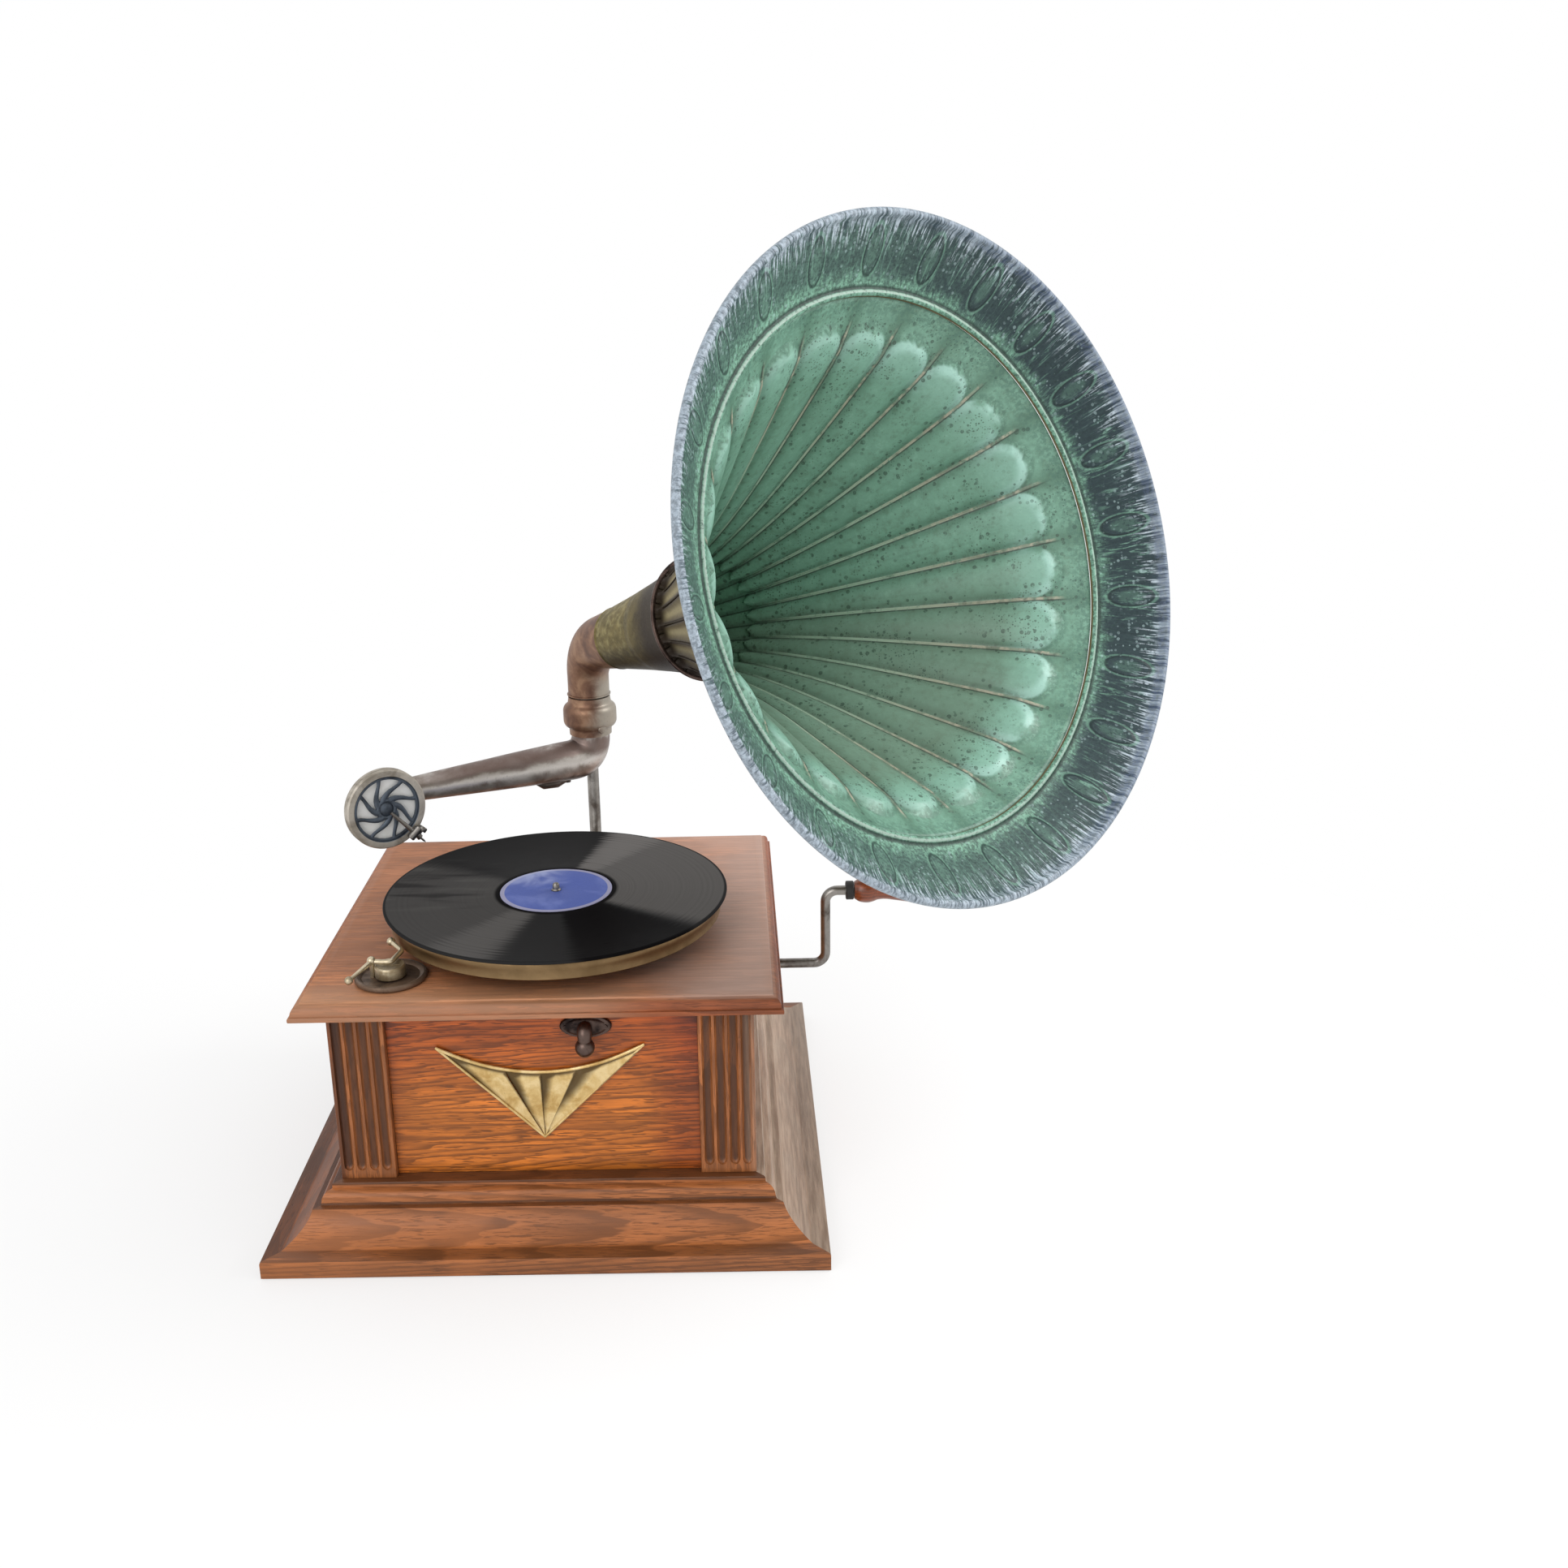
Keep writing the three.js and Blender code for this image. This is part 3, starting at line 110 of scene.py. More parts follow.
def opaque(colour):
    return (*colour[:3], 1.0)


# Settings shown in the sidebar


def colour_setting(name, description, code):
    return FloatVectorProperty(
        name=name, description=description, subtype="COLOR", default=tint(code)
    )


def length_setting(name, description, metres):
    return FloatProperty(name=name, description=description, default=metres, unit="LENGTH")


def light_setting(name, description, level):
    return FloatProperty(name=name, description=description, default=level, min=0.0)


def angle_setting(name, description, degrees):
    return FloatProperty(
        name=name, description=description, default=math.radians(degrees),
        subtype="ANGLE", unit="ROTATION",
    )


class CaseSettings(PropertyGroup):
    base_width: length_setting("Base width", "Width of the moulded base", 0.392)
    base_depth: length_setting("Base depth", "Depth of the moulded base", 0.380)
    deck_width: length_setting("Deck width", "Width of the top board", 0.334)
    deck_depth: length_setting("Deck depth", "Depth of the top board", 0.322)
    flutes: IntProperty(
        name="Flutes", description="Flutes on each face of a corner post", default=4, min=1
    )
    panel_oak: colour_setting("Panel oak", "Oak of the panels", "c77024")
    frame_oak: colour_setting("Frame oak", "Darker oak of the base and posts", "a16134")
    deck_oak: colour_setting("Deck oak", "Oak of the top board", "b8754a")
    brass: colour_setting("Brass", "Aged brass", "7f684a")


class HornSettings(PropertyGroup):
    petals: IntProperty(name="Petals", description="Flutes round the bell", default=24, min=3)
    petal_depth: length_setting("Petal depth", "Swell of a petal", 0.0062)
    wall: length_setting("Wall", "Thickness of the sheet", 0.0011)
    green: colour_setting("Green", "Paint inside the bell", "76a18c")
    deep_green: colour_setting("Deep green", "Paint in the throat", "547d66")
    slate: colour_setting("Slate", "Dark brushed band of the flare", "2b373d")
    rim: colour_setting("Rim", "Pale edge of the flare", "8f9aa4")
    bronze: colour_setting("Bronze", "Outside of the horn", "665b38")


class RecordSettings(PropertyGroup):
    label_radius: length_setting("Label radius", "Radius of the paper label", 0.0415)
    shellac: colour_setting("Shellac", "Colour of the record", "100f10")
    label_blue: colour_setting("Label blue", "Colour of the label", "4a5ca3")
    label_edge: colour_setting("Label edge", "Ring round the label", "a09db2")


class StageSettings(PropertyGroup):
    lens: FloatProperty(
        name="Lens", description="Focal length of the camera, in millimetres", default=34.896
    )
    camera: FloatVectorProperty(
        name="Camera", description="Place of the camera", subtype="XYZ", unit="LENGTH",
        default=(0.13511, -1.08017, 0.64730),
    )
    yaw: angle_setting("Yaw", "Turn of the camera", -1.09)
    pitch: angle_setting("Pitch", "Downward tilt of the camera", 16.92)
    roll: angle_setting("Roll", "Roll of the camera", -1.56)
    key_power: light_setting("Key light", "Power of the large soft light", 32.0)
    fill_power: light_setting("Fill light", "Power of the opposite soft light", 22.0)
    ambient: light_setting("Ambient", "Strength of the even light", 0.9)


# Modelling helpers, all in millimetres until a piece is finished


def newer(bm, before):
    """The vertices that came after the ones in before."""
    return [v for v in bm.verts if v not in before]


def edges_at(verts):
    """Every edge at the vertices, once."""
    return list(dict.fromkeys(edge for vert in verts for edge in vert.link_edges))


def shift_all(bm, matrix):
    bmesh.ops.transform(bm, matrix=matrix, verts=bm.verts)


def profile_edges(bm, profile, closed):
    """Vertices and edges of a [radius, height] profile in the XZ plane."""
    verts = [bm.verts.new((radius * MM, 0, height * MM)) for radius, height in profile]
    pairs = list(zip(verts, verts[1:]))
    if closed:
        pairs.append((verts[-1], verts[0]))
    return verts + [bm.edges.new(pair) for pair in pairs]


def turn_profile(bm, profile, steps, matrix=None, closed=False):
    """Spins a profile once round Z."""
    before = set(bm.verts)
    geometry = profile_edges(bm, profile, closed)
    bmesh.ops.spin(
        bm, geom=geometry, axis=(0, 0, 1), cent=(0, 0, 0), angle=2 * math.pi,
        steps=steps, use_merge=True,
    )
    bmesh.ops.remove_doubles(bm, verts=newer(bm, before), dist=1e-6)
    if matrix is not None:
        bmesh.ops.transform(bm, matrix=matrix, verts=newer(bm, before))


def turned(profile, steps, matrix=None, closed=False):
    """A new bmesh with one turned profile."""
    bm = bmesh.new()
    turn_profile(bm, profile, steps, matrix, closed)
    return bm


def add_block(bm, low, high, bevel, matrix=None):
    """Adds a box with softened edges."""
    before = set(bm.verts)
    bmesh.ops.create_cube(bm, size=1)
    verts = newer(bm, before)
    size = [(b - a) * MM for a, b in zip(low, high)]
    middle = Vector([(a + b) / 2 * MM for a, b in zip(low, high)])
    bmesh.ops.scale(bm, vec=size, verts=verts)
    bmesh.ops.translate(bm, vec=middle, verts=verts)
    bmesh.ops.bevel(
        bm, geom=edges_at(verts), offset=bevel * MM, segments=2, profile=0.5, affect="EDGES",
        material=-1,
    )
    if matrix is not None:
        bmesh.ops.transform(bm, matrix=matrix, verts=newer(bm, before))


def add_screws(bm, plate, first, reach, height, profile, steps):
    """Three screw heads evenly round a plate, the first at an angle in degrees."""
    for k in range(3):
        turn = math.radians(first + 120 * k)
        spot = plate @ moved(reach * math.cos(turn), reach * math.sin(turn), height)
        turn_profile(bm, profile, steps, spot)


def add_ball(bm, centre, radius):
    before = set(bm.verts)
    bmesh.ops.create_uvsphere(bm, u_segments=28, v_segments=18, radius=radius * MM)
    bmesh.ops.translate(bm, vec=Vector(centre) * MM, verts=newer(bm, before))


def path_frames(path):
    """Places along a path whose frames are carried on without twist."""
    frames = []
    side = None
    for i, point in enumerate(path):
        along = (path[min(i + 1, len(path) - 1)] - path[max(i - 1, 0)]).normalized()
        if side is None:
            helper = Vector((1, 0, 0)) if abs(along.z) > 0.9 else Vector((0, 0, 1))
            side = helper.cross(along).normalized()
        else:
            side = (side - along * side.dot(along)).normalized()
        frames.append(place(side, along.cross(side), along, point))
    return frames


def add_pipe(bm, path, radii, sides, capped=True, flat=1.0):
    """Extrudes a ring along a path, with its own radius at each point."""
    before = set(bm.verts)
    frames = path_frames([Vector(p) for p in path])
    stations = [f @ Matrix.Diagonal((r * MM, r * MM * flat, MM, 1)) for f, r in zip(frames, radii)]
    made = bmesh.ops.create_circle(bm, segments=sides, radius=1, cap_ends=False)
    verts = made["verts"]
    bmesh.ops.transform(bm, matrix=stations[0], verts=verts)
    first = edges = edges_at(verts)
    for here, ahead in zip(stations, stations[1:]):
        grown = bmesh.ops.extrude_edge_only(bm, edges=edges)["geom"]
        verts = [g for g in grown if isinstance(g, bmesh.types.BMVert)]
        edges = [g for g in grown if isinstance(g, bmesh.types.BMEdge)]
        bmesh.ops.transform(bm, matrix=ahead @ here.inverted(), verts=verts)
    if capped:
        bmesh.ops.contextual_create(bm, geom=first)
        bmesh.ops.contextual_create(bm, geom=edges)
    faces = dict.fromkeys(face for vert in newer(bm, before) for face in vert.link_faces)
    bmesh.ops.recalc_face_normals(bm, faces=list(faces))


def rounded_path(corners, bend, steps):
    """The corner points with each inner corner drawn as a smooth bend."""
    points = [Vector(c) for c in corners]
    path = [points[0]]
    for before, corner, after in zip(points, points[1:], points[2:]):
        start = corner + (before - corner).normalized() * bend
        end = corner + (after - corner).normalized() * bend
        pull = 0.55
        path += interpolate_bezier(
            start, start.lerp(corner, pull), end.lerp(corner, pull), end, steps + 1
        )
    path.append(points[-1])
    return path


def quarter_round(x, y, across, up, steps):
    """Quarter of an ellipse round a centre, from its left to its top."""
    turns = [math.radians(90 * i / steps) for i in range(steps + 1)]
    return [(x - across * math.cos(turn), y + up * math.sin(turn)) for turn in turns]


def smooth_table(table, samples):
    """Evenly samples a smooth curve through rows of two or more numbers."""
    rows = [Vector(row) for row in table]
    first = rows[0] * 2 - rows[1]
    last = rows[-1] * 2 - rows[-2]
    rows = [first, *rows, last]
    result = []
    spans = len(rows) - 3
    for i in range(samples + 1):
        at = i * spans / samples
        k = min(int(at), spans - 1)
        t = at - k
        a, b, c, d = rows[k : k + 4]
        result.append(
            (b * 2 + (c - a) * t + (a * 2 - b * 5 + c * 4 - d) * t * t
             + (b * 3 - a - c * 3 + d) * t**3) * 0.5
        )
    return result


def mitred(bm, profile, half_width, half_depth, capped=False):
    """Runs a profile of [inset, height] points round a rectangle with mitred corners."""
    loops = []
    for sign_x, sign_y in ((-1, -1), (1, -1), (1, 1), (-1, 1)):
        verts = [
            bm.verts.new(
                (
                    sign_x * (half_width - inset) * MM, sign_y * (half_depth - inset) * MM,
                    height * MM,
                )
            )
            for inset, height in profile
        ]
        pairs = list(zip(verts, verts[1:]))
        if not capped:
            pairs.append((verts[-1], verts[0]))
        loops.append([bm.edges.new(pair) for pair in pairs])
    for here, ahead in zip(loops, loops[1:] + loops[:1]):
        bmesh.ops.bridge_loops(bm, edges=here + ahead)
    if capped:
        bmesh.ops.holes_fill(bm, edges=[e for e in bm.edges if e.is_boundary], sides=4)
    bmesh.ops.recalc_face_normals(bm, faces=bm.faces)


def finish_piece(name, bm, body, finishes, replaces, sharp=35, keep_normals=False):
    """Makes a bmesh an object that rides on a body and stands for CAD nodes."""
    if not keep_normals:
        bmesh.ops.recalc_face_normals(bm, faces=bm.faces)
    mesh = bpy.data.meshes.new(name)
    bm.to_mesh(mesh)
    bm.free()
    mesh.shade_smooth()
    mesh.set_sharp_from_angle(angle=math.radians(sharp))
    piece = bpy.data.objects.new(name, mesh)
    bpy.context.scene.collection.objects.link(piece)
    for finish in finishes if isinstance(finishes, (list, tuple)) else [finishes]:
        mesh.materials.append(finish_named(finish) if isinstance(finish, str) else finish)
    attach(piece, body)
    if replaces:
        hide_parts(*replaces)
    return piece


def carved(bm, cutter):
    """Cuts one solid out of another and gives back the result as a bmesh."""
    parts = []
    for solid in (bm, cutter):
        bmesh.ops.recalc_face_normals(solid, faces=solid.faces)
        mesh = bpy.data.meshes.new("carving")
        solid.to_mesh(mesh)
        solid.free()
        part = bpy.data.objects.new("carving", mesh)
        bpy.context.scene.collection.objects.link(part)
        parts.append(part)
    cut = parts[0].modifiers.new("cut", "BOOLEAN")
    cut.operation, cut.solver, cut.object = "DIFFERENCE", "EXACT", parts[1]
    evaluated = parts[0].evaluated_get(bpy.context.evaluated_depsgraph_get())
    result = bmesh.new()
    result.from_mesh(evaluated.to_mesh())
    evaluated.to_mesh_clear()
    for part in parts:
        mesh = part.data
        bpy.data.objects.remove(part)
        bpy.data.meshes.remove(mesh)
    return result


# Finishes


class Finish:
    """A procedural material built up from masks, colours and relief."""

    def __init__(
        self, name, roughness=0.5, metallic=0.0, specular=0.5, coat=0.0, coat_roughness=0.1,
    ):
        self.material = bpy.data.materials.new(name)
        self.material.use_nodes = True
        self.tree = self.material.node_tree
        self.shader = self.tree.nodes["Principled BSDF"]
        for socket, value in (
            ("Roughness", roughness),
            ("Metallic", metallic),
            ("Specular IOR Level", specular),
            ("Coat Weight", coat),
            ("Coat Roughness", coat_roughness),
        ):
            self.shader.inputs[socket].default_value = value
        self.bump = None

    def node(self, kind, inputs=(), **settings):
        made = self.tree.nodes.new("ShaderNode" + kind)
        for key, value in settings.items():
            setattr(made, key, value)
        for key, value in dict(inputs).items():
            self.feed(made.inputs[key], value)
        return made

    def feed(self, socket, value):
        if isinstance(value, bpy.types.NodeSocket):
            self.tree.links.new(value, socket)
        else:
            socket.default_value = value

    def object_space(self, origin=(0, 0, 0)):
        """Object coordinates in millimetres, measured from an origin."""
        here = self.node("TexCoord").outputs["Object"]
        away = self.node("Mapping", {"Vector": here, "Location": [-part * MM for part in origin]})
        return self.stretched(away.outputs[0], [1 / MM] * 3)

    def attribute(self, name, output="Fac"):
        return self.node("Attribute", attribute_name=name).outputs[output]

    def stretched(self, vector, scale):
        return self.node("Mapping", {"Vector": vector, "Scale": scale}).outputs[0]

    def noise(self, vector, scale=1.0, detail=4.0, roughness=0.55, distortion=0.0):
        return self.node(
            "TexNoise",
            {"Vector": vector, "Scale": scale, "Detail": detail, "Roughness": roughness,
             "Distortion": distortion},
        ).outputs[0]

    def mask(self, value, low, high):
        """0 below low and 1 above high, or the other way round if low is the larger."""
        return self.node(
            "MapRange", {"Value": value, "From Min": low, "From Max": high},
            interpolation_type="SMOOTHSTEP",
        ).outputs[0]

    def ranged(self, value, to_low, to_high, from_low=0.0, from_high=1.0):
        """A straight change from one range to another."""
        return self.node(
            "MapRange",
            {"Value": value, "From Min": from_low, "From Max": from_high,
             "To Min": to_low, "To Max": to_high},
        ).outputs[0]

    def parts(self, vector):
        """The three numbers of a vector."""
        return self.node("SeparateXYZ", {"Vector": vector}).outputs

    def math(self, operation, a, b=0.0):
        made = self.node("Math", operation=operation)
        self.feed(made.inputs[0], a)
        self.feed(made.inputs[1], b)
        return made.outputs[0]

    def plus(self, a, b):
        return self.math("ADD", a, b)

    def less(self, a, b):
        return self.math("SUBTRACT", a, b)

    def over(self, a, b):
        return self.math("DIVIDE", a, b)

    def larger(self, a, b):
        return self.math("MAXIMUM", a, b)

    def smaller(self, a, b):
        return self.math("MINIMUM", a, b)

    def distance(self, a, b):
        """How far a point with the two coordinates is from their origin."""
        return self.math("SQRT", self.plus(self.times(a, a), self.times(b, b)))

    def times(self, *values):
        result = values[0]
        for value in values[1:]:
            result = self.math("MULTIPLY", result, value)
        return result

    def mix(self, factor, a, b, mode="MIX"):
        made = self.node("Mix", data_type="RGBA", blend_type=mode)
        self.feed(made.inputs[0], factor)
        self.feed(made.inputs[6], a if isinstance(a, bpy.types.NodeSocket) else opaque(a))
        self.feed(made.inputs[7], b if isinstance(b, bpy.types.NodeSocket) else opaque(b))
        return made.outputs[2]

    def lay(self, under, colour, *shares, mode="MIX"):
        """Lays a colour over another by the product of its shares."""
        over = tint(colour) if isinstance(colour, str) else colour
        return self.mix(self.times(*shares), under, over, mode)

    def shades(self, value, *stops):
        """A colour ramp of (position, colour) stops."""
        made = self.node("ValToRGB", {"Fac": value})
        ramp = made.color_ramp
        while len(ramp.elements) < len(stops):
            ramp.elements.new(0.5)
        for element, (position, colour) in zip(ramp.elements, stops):
            element.position = position
            element.color = opaque(colour)
        return made.outputs[0]

    def paint(self, colour):
        self.feed(self.shader.inputs["Base Color"], colour)

    def dull(self, value):
        self.feed(self.shader.inputs["Roughness"], value)

    def relief(self, height, depth, strength=1.0):
        """Adds bump of a depth in millimetres."""
        made = self.node("Bump", {"Height": height, "Distance": depth * MM, "Strength": strength})
        if self.bump is not None:
            self.feed(made.inputs["Normal"], self.bump)
        self.bump = made.outputs[0]
        self.feed(self.shader.inputs["Normal"], self.bump)


def shade(colour, factor):
    """The colour made lighter or darker."""
    return tuple(min(1.0, c * factor) for c in colour[:3])


def oak(
    name, colour, grain, contrast, roughness, coat, pitch, tilt,
    hollows=False, pale_and_dark_sides=None, dark_bands=(), red_top=False, arches=None,
):
    """Varnished oak cut from a log that lies along one axis, slightly askew, so its rings show."""
    f = Finish(name, roughness=roughness, coat=coat, coat_roughness=0.3, specular=0.35)
    space = f.object_space()
    here = f.parts(space)
    slight = tilt * 0.8
    turns = {"x": (0, tilt, slight), "y": (tilt, 0, slight), "z": (tilt, slight, 0)}[grain]
    askew = [math.radians(turn) for turn in turns]
    log = f.node("Mapping", {"Vector": space, "Rotation": askew}).outputs[0]
    along = {"x": 0, "y": 1, "z": 2}[grain]

    def drawn_out(length, width):
        return f.stretched(space, [1 / length if i == along else 1 / width for i in range(3)])

    # Rings round the log's heart, or arches where a board is cut along it
    parts = f.parts(log)
    a, b = [i for i in range(3) if i != along]
    across = f.plus(parts[a], 70)
    deep = f.plus(parts[b], -330)
    from_heart = f.math("SQRT", f.plus(f.times(across, across, 0.35), f.times(deep, deep)))
    if arches:
        rise = f.less(here[2], arches)
        from_heart = f.plus(
            f.times(here[along], math.tan(math.radians(tilt))), f.times(rise, rise, 0.055),
        )
    warp = f.noise(drawn_out(520, 46), 1.0, 3.0, 0.5)
    ripple = f.noise(drawn_out(75, 8), 1.0, 3.0, 0.5)
    sway = f.plus(f.times(warp, 3.0 if arches else 13), f.times(ripple, 0.8 if arches else 2.2))
    age = f.plus(f.times(from_heart, 1 / pitch), sway)
    ring = f.math("FRACT", age)

    # Streaks, bands, late wood, pores and blotches, from the faintest to the darkest
    streaks = f.noise(drawn_out(38, 2.6), 1.0, 4.0, 0.62)
    pores = f.noise(drawn_out(16, 1.15), 1.0, 2.0, 0.6)
    bands = f.noise(drawn_out(110, 11), 1.0, 3.0, 0.55)
    blotch = f.noise(space, 0.011, 3.0)
    late = f.times(f.mask(ring, 0.42, 0.88), f.mask(ring, 1.0, 0.94))
    late = f.times(late, f.mask(streaks, 0.12, 0.40) if arches else f.mask(streaks, 0.30, 0.50))
    spread = 0.14 if arches else 0.24
    body = f.mix(f.mask(streaks, 0.34, 0.66), shade(colour, 1 - spread), shade(colour, 1 + spread))
    body = f.lay(
        body, shade(colour, 0.5), f.mask(bands, 0.5, 0.66), (0.3 if arches else 0.5) * contrast,
    )
    body = f.lay(body, shade(colour, 1.4), f.mask(bands, 0.46, 0.34), 0.4 * contrast)
    body = f.lay(body, shade(colour, 0.30), late, min(1.0, 0.85 * contrast))
    dark_pore = f.times(f.mask(pores, 0.46, 0.38), f.mask(ring, 1.0, 0.45))
    body = f.lay(body, shade(colour, 0.2), dark_pore, min(1.0, 0.75 * contrast))
    body = f.lay(body, shade(colour, 0.55), f.mask(blotch, 0.46, 0.66), 0.42)
    body = f.lay(body, shade(colour, 1.4), f.mask(blotch, 0.44, 0.30), 0.35)

    # What it shows by where it is: painted shade along creases and in flutes, painted sheen and
    # shade on the sides, and paler and darker places
    if arches and grain == "x":
        body = f.lay(body, shade(colour, 1.45), f.mask(here[0], -60, -150), 0.3)
    if red_top:
        body = f.lay(body, "cf9266", f.mask(here[2], 92, 165), 0.65, mode="MULTIPLY")
        wander = f.plus(here[0], f.times(blotch, 40))
        body = f.lay(body, "bb8c60", f.mask(wander, 80, 122), 0.7, mode="MULTIPLY")
        body = f.lay(body, "bb8c60", f.mask(wander, -62, -96), 0.45, mode="MULTIPLY")
    # Painted shade along the creases of the base, and a darker band at its foot
    for height, half, strength in dark_bands:
        off = f.math("ABSOLUTE", f.less(here[2], height))
        line = f.times(f.mask(off, half, half * 0.3), f.mask(streaks, 0.22, 0.42))
        body = f.lay(body, shade(colour, 0.12), line, strength)
    # Painted shade deep in the flutes
    if hollows:
        body = f.lay(body, shade(colour, 0.13), f.mask(f.attribute("hollow"), 0.52, 0.95), 0.74)
    if pale_and_dark_sides == "deck":
        body = deck_stains_and_highlight(f, body, colour, space, here, streaks)
    # Painted sheen and shade on the sides
    elif pale_and_dark_sides:
        share = 0.82 if pale_and_dark_sides == "side" else 0.28
        body = side_sheen_and_shade(f, body, here, streaks, blotch, share)
    f.paint(body)
    f.dull(f.ranged(streaks, roughness - 0.08, roughness + 0.16))
    f.relief(f.less(1.0, dark_pore), 0.12, 0.6)
    f.relief(late, 0.1, 0.35)
    return f.material


def side_sheen_and_shade(f, body, here, streaks, blotch, share):
    """Paints sheen on the case's right side and shade on its left side, and darkens the foot of the
    right one.
    """
    right_side = f.less(here[0], f.math("ABSOLUTE", here[1]))
    left_side = f.plus(here[0], f.math("ABSOLUTE", here[1]))
    # Painted shade on the left side
    body = f.lay(body, "9c8478", f.mask(left_side, 1, -5), 0.6, mode="MULTIPLY")
    # Painted sheen on the right side, pale grey-brown
    on_right = f.mask(right_side, -1, 5)
    pale = f.times(on_right, f.plus(f.times(f.less(blotch, 0.5), -0.5), share))
    body = f.lay(body, f.mix(f.mask(streaks, 0.3, 0.7), tint("8b7866"), tint("b4a18e")), pale)
    foot = f.times(on_right, f.mask(here[2], 34, 10))
    return f.lay(body, "a39d98", foot, 0.5, mode="MULTIPLY")


def deck_stains_and_highlight(f, body, colour, space, here, streaks):
    """Pales the deck's top towards the right; stains and darkens its left and its edge; paints a
    highlight along its front.
    """
    reach = f.plus(here[0], f.times(f.noise(space, 0.012, 4.0, 0.6), 160))
    pale = f.times(f.mask(reach, 60, 230), f.mask(here[2], 188, 190.8))
    body = f.lay(body, f.mix(streaks, tint("a08375"), tint("c4a99d")), pale, 0.76)
    body = f.lay(body, "ab7c5e", f.mask(here[2], 190.4, 188.5), 0.75, mode="MULTIPLY")
    stain = f.mask(f.noise(space, 0.02, 4.0, 0.65), 0.52, 0.68)
    body = f.lay(body, shade(colour, 0.45), f.times(stain, f.mask(here[0], 60, -60)), 0.45)
    left = f.times(
        f.mask(here[0], -70, -135), f.mask(here[1], -125, -90), f.mask(streaks, 0.25, 0.5),
    )
    body = f.lay(body, shade(colour, 0.5), left, 0.4)
    # Painted highlight along the front
    front = f.times(f.mask(here[1], -112, -150), f.mask(here[0], 90, 20))
    return f.lay(body, "c29674", front, 0.4)


def aged_metal(name, colour, tarnish, roughness, spots, metallic, scale):
    """Worn plated or cast metal with tarnish, dents and rubbed places."""
    f = Finish(name, roughness=roughness, metallic=metallic)
    space = f.object_space()
    cloud = f.noise(space, 0.045 * scale, 5.0, 0.6, 0.4)
    fine = f.noise(space, 0.55 * scale, 4.0, 0.65)
    dent = f.noise(space, 0.16 * scale, 2.0)
    body = f.shades(cloud, (0.36, tarnish), (0.5, colour), (0.66, shade(colour, 1.25)))
    body = f.lay(body, shade(tarnish, 0.5), f.mask(fine, 0.56, 0.70), spots)
    f.paint(body)
    f.dull(f.ranged(cloud, roughness + 0.2, roughness - 0.06, 0.3, 0.7))
    f.relief(fine, 0.05, 0.5)
    f.relief(dent, 0.4, 0.25)
    return f.material


def plain_finish(name, colour, roughness, grain=1.2, depth=0.05, specular=0.4):
    """One colour with a little cloud and grain."""
    f = Finish(name, roughness=roughness, specular=specular)
    space = f.object_space()
    fine = f.noise(space, grain, 4.0)
    cloud = f.noise(space, grain * 0.06, 3.0)
    f.paint(f.mix(cloud, shade(colour, 0.8), shade(colour, 1.15)))
    f.relief(fine, depth, 0.6)
    return f.material


# Painted shade along the creases of the base, and a darker band at its foot: height, half width,
# strength
CASE_CREASE_SHADE = ((34.9, 1.4, 0.75), (46.4, 1.4, 0.75), (3.5, 11, 0.3), (13.4, 0.7, 0.5))
# Colour, grain, contrast, roughness, coat, width and tilt of the rings, then what else it shows
OAKS = {
    "panel_oak_x": ("panel_oak", "x", 1.12, 0.34, 0.2, 4.6, 2.6, {"red_top": True}),
    "panel_oak_y": ("panel_oak", "y", 1.12, 0.34, 0.2, 4.6, 2.6, {"pale_and_dark_sides": "slight"}),
    "post_oak": (
        "frame_oak", "z", 0.8, 0.4, 0.12, 5.0, 2.2, {"hollows": True, "pale_and_dark_sides": "slight"},
    ),
    "base_oak_x": ("frame_oak", "x", 0.8, 0.42, 0.1, 7.0, 4.5, {"dark_bands": CASE_CREASE_SHADE, "arches": 24}),
    "base_oak_y": (
        "frame_oak", "y", 0.6, 0.42, 0.1, 7.0, 4.5,
        {"pale_and_dark_sides": "side", "dark_bands": CASE_CREASE_SHADE, "arches": 24},
    ),
    "deck_oak": ("deck_oak", "x", 0.6, 0.5, 0.05, 5.0, 1.6, {"pale_and_dark_sides": "deck"}),
    "inner_board": ("9b7a55", "x", 0.8, 0.7, 0.0, 3.2, 2.2, {}),
    "handle_wood": ("84401f", "x", 0.6, 0.25, 0.5, 3.2, 2.2, {}),
}
# Colour, tarnish, roughness, share of dark spots, metallic share and scale of the wear
METALS = {
    "bright_brass": ("c4b79c", "8d7c60", 0.28, 0.25, 0.85, 1.0),
    "dish_brown": ("6a5646", "3f3127", 0.4, 0.3, 0.6, 1.0),
    "aged_brass": ("brass", "755f42", 0.4, 0.1, 1.0, 0.6),
    "worn_nickel": ("a39a93", "84776f", 0.38, 0.15, 0.75, 1.0),
    "pale_nickel": ("b3aca1", "8c8478", 0.42, 0.2, 0.6, 1.0),
    "dark_bronze": ("5a4b45", "2a2322", 0.36, 0.3, 1.0, 1.0),
    "plain_steel": ("86827d", "57504a", 0.3, 0.2, 1.0, 1.0),
    "blued_steel": ("4c545e", "2a2f36", 0.4, 0.2, 0.5, 1.0),
}
made_finishes = {}


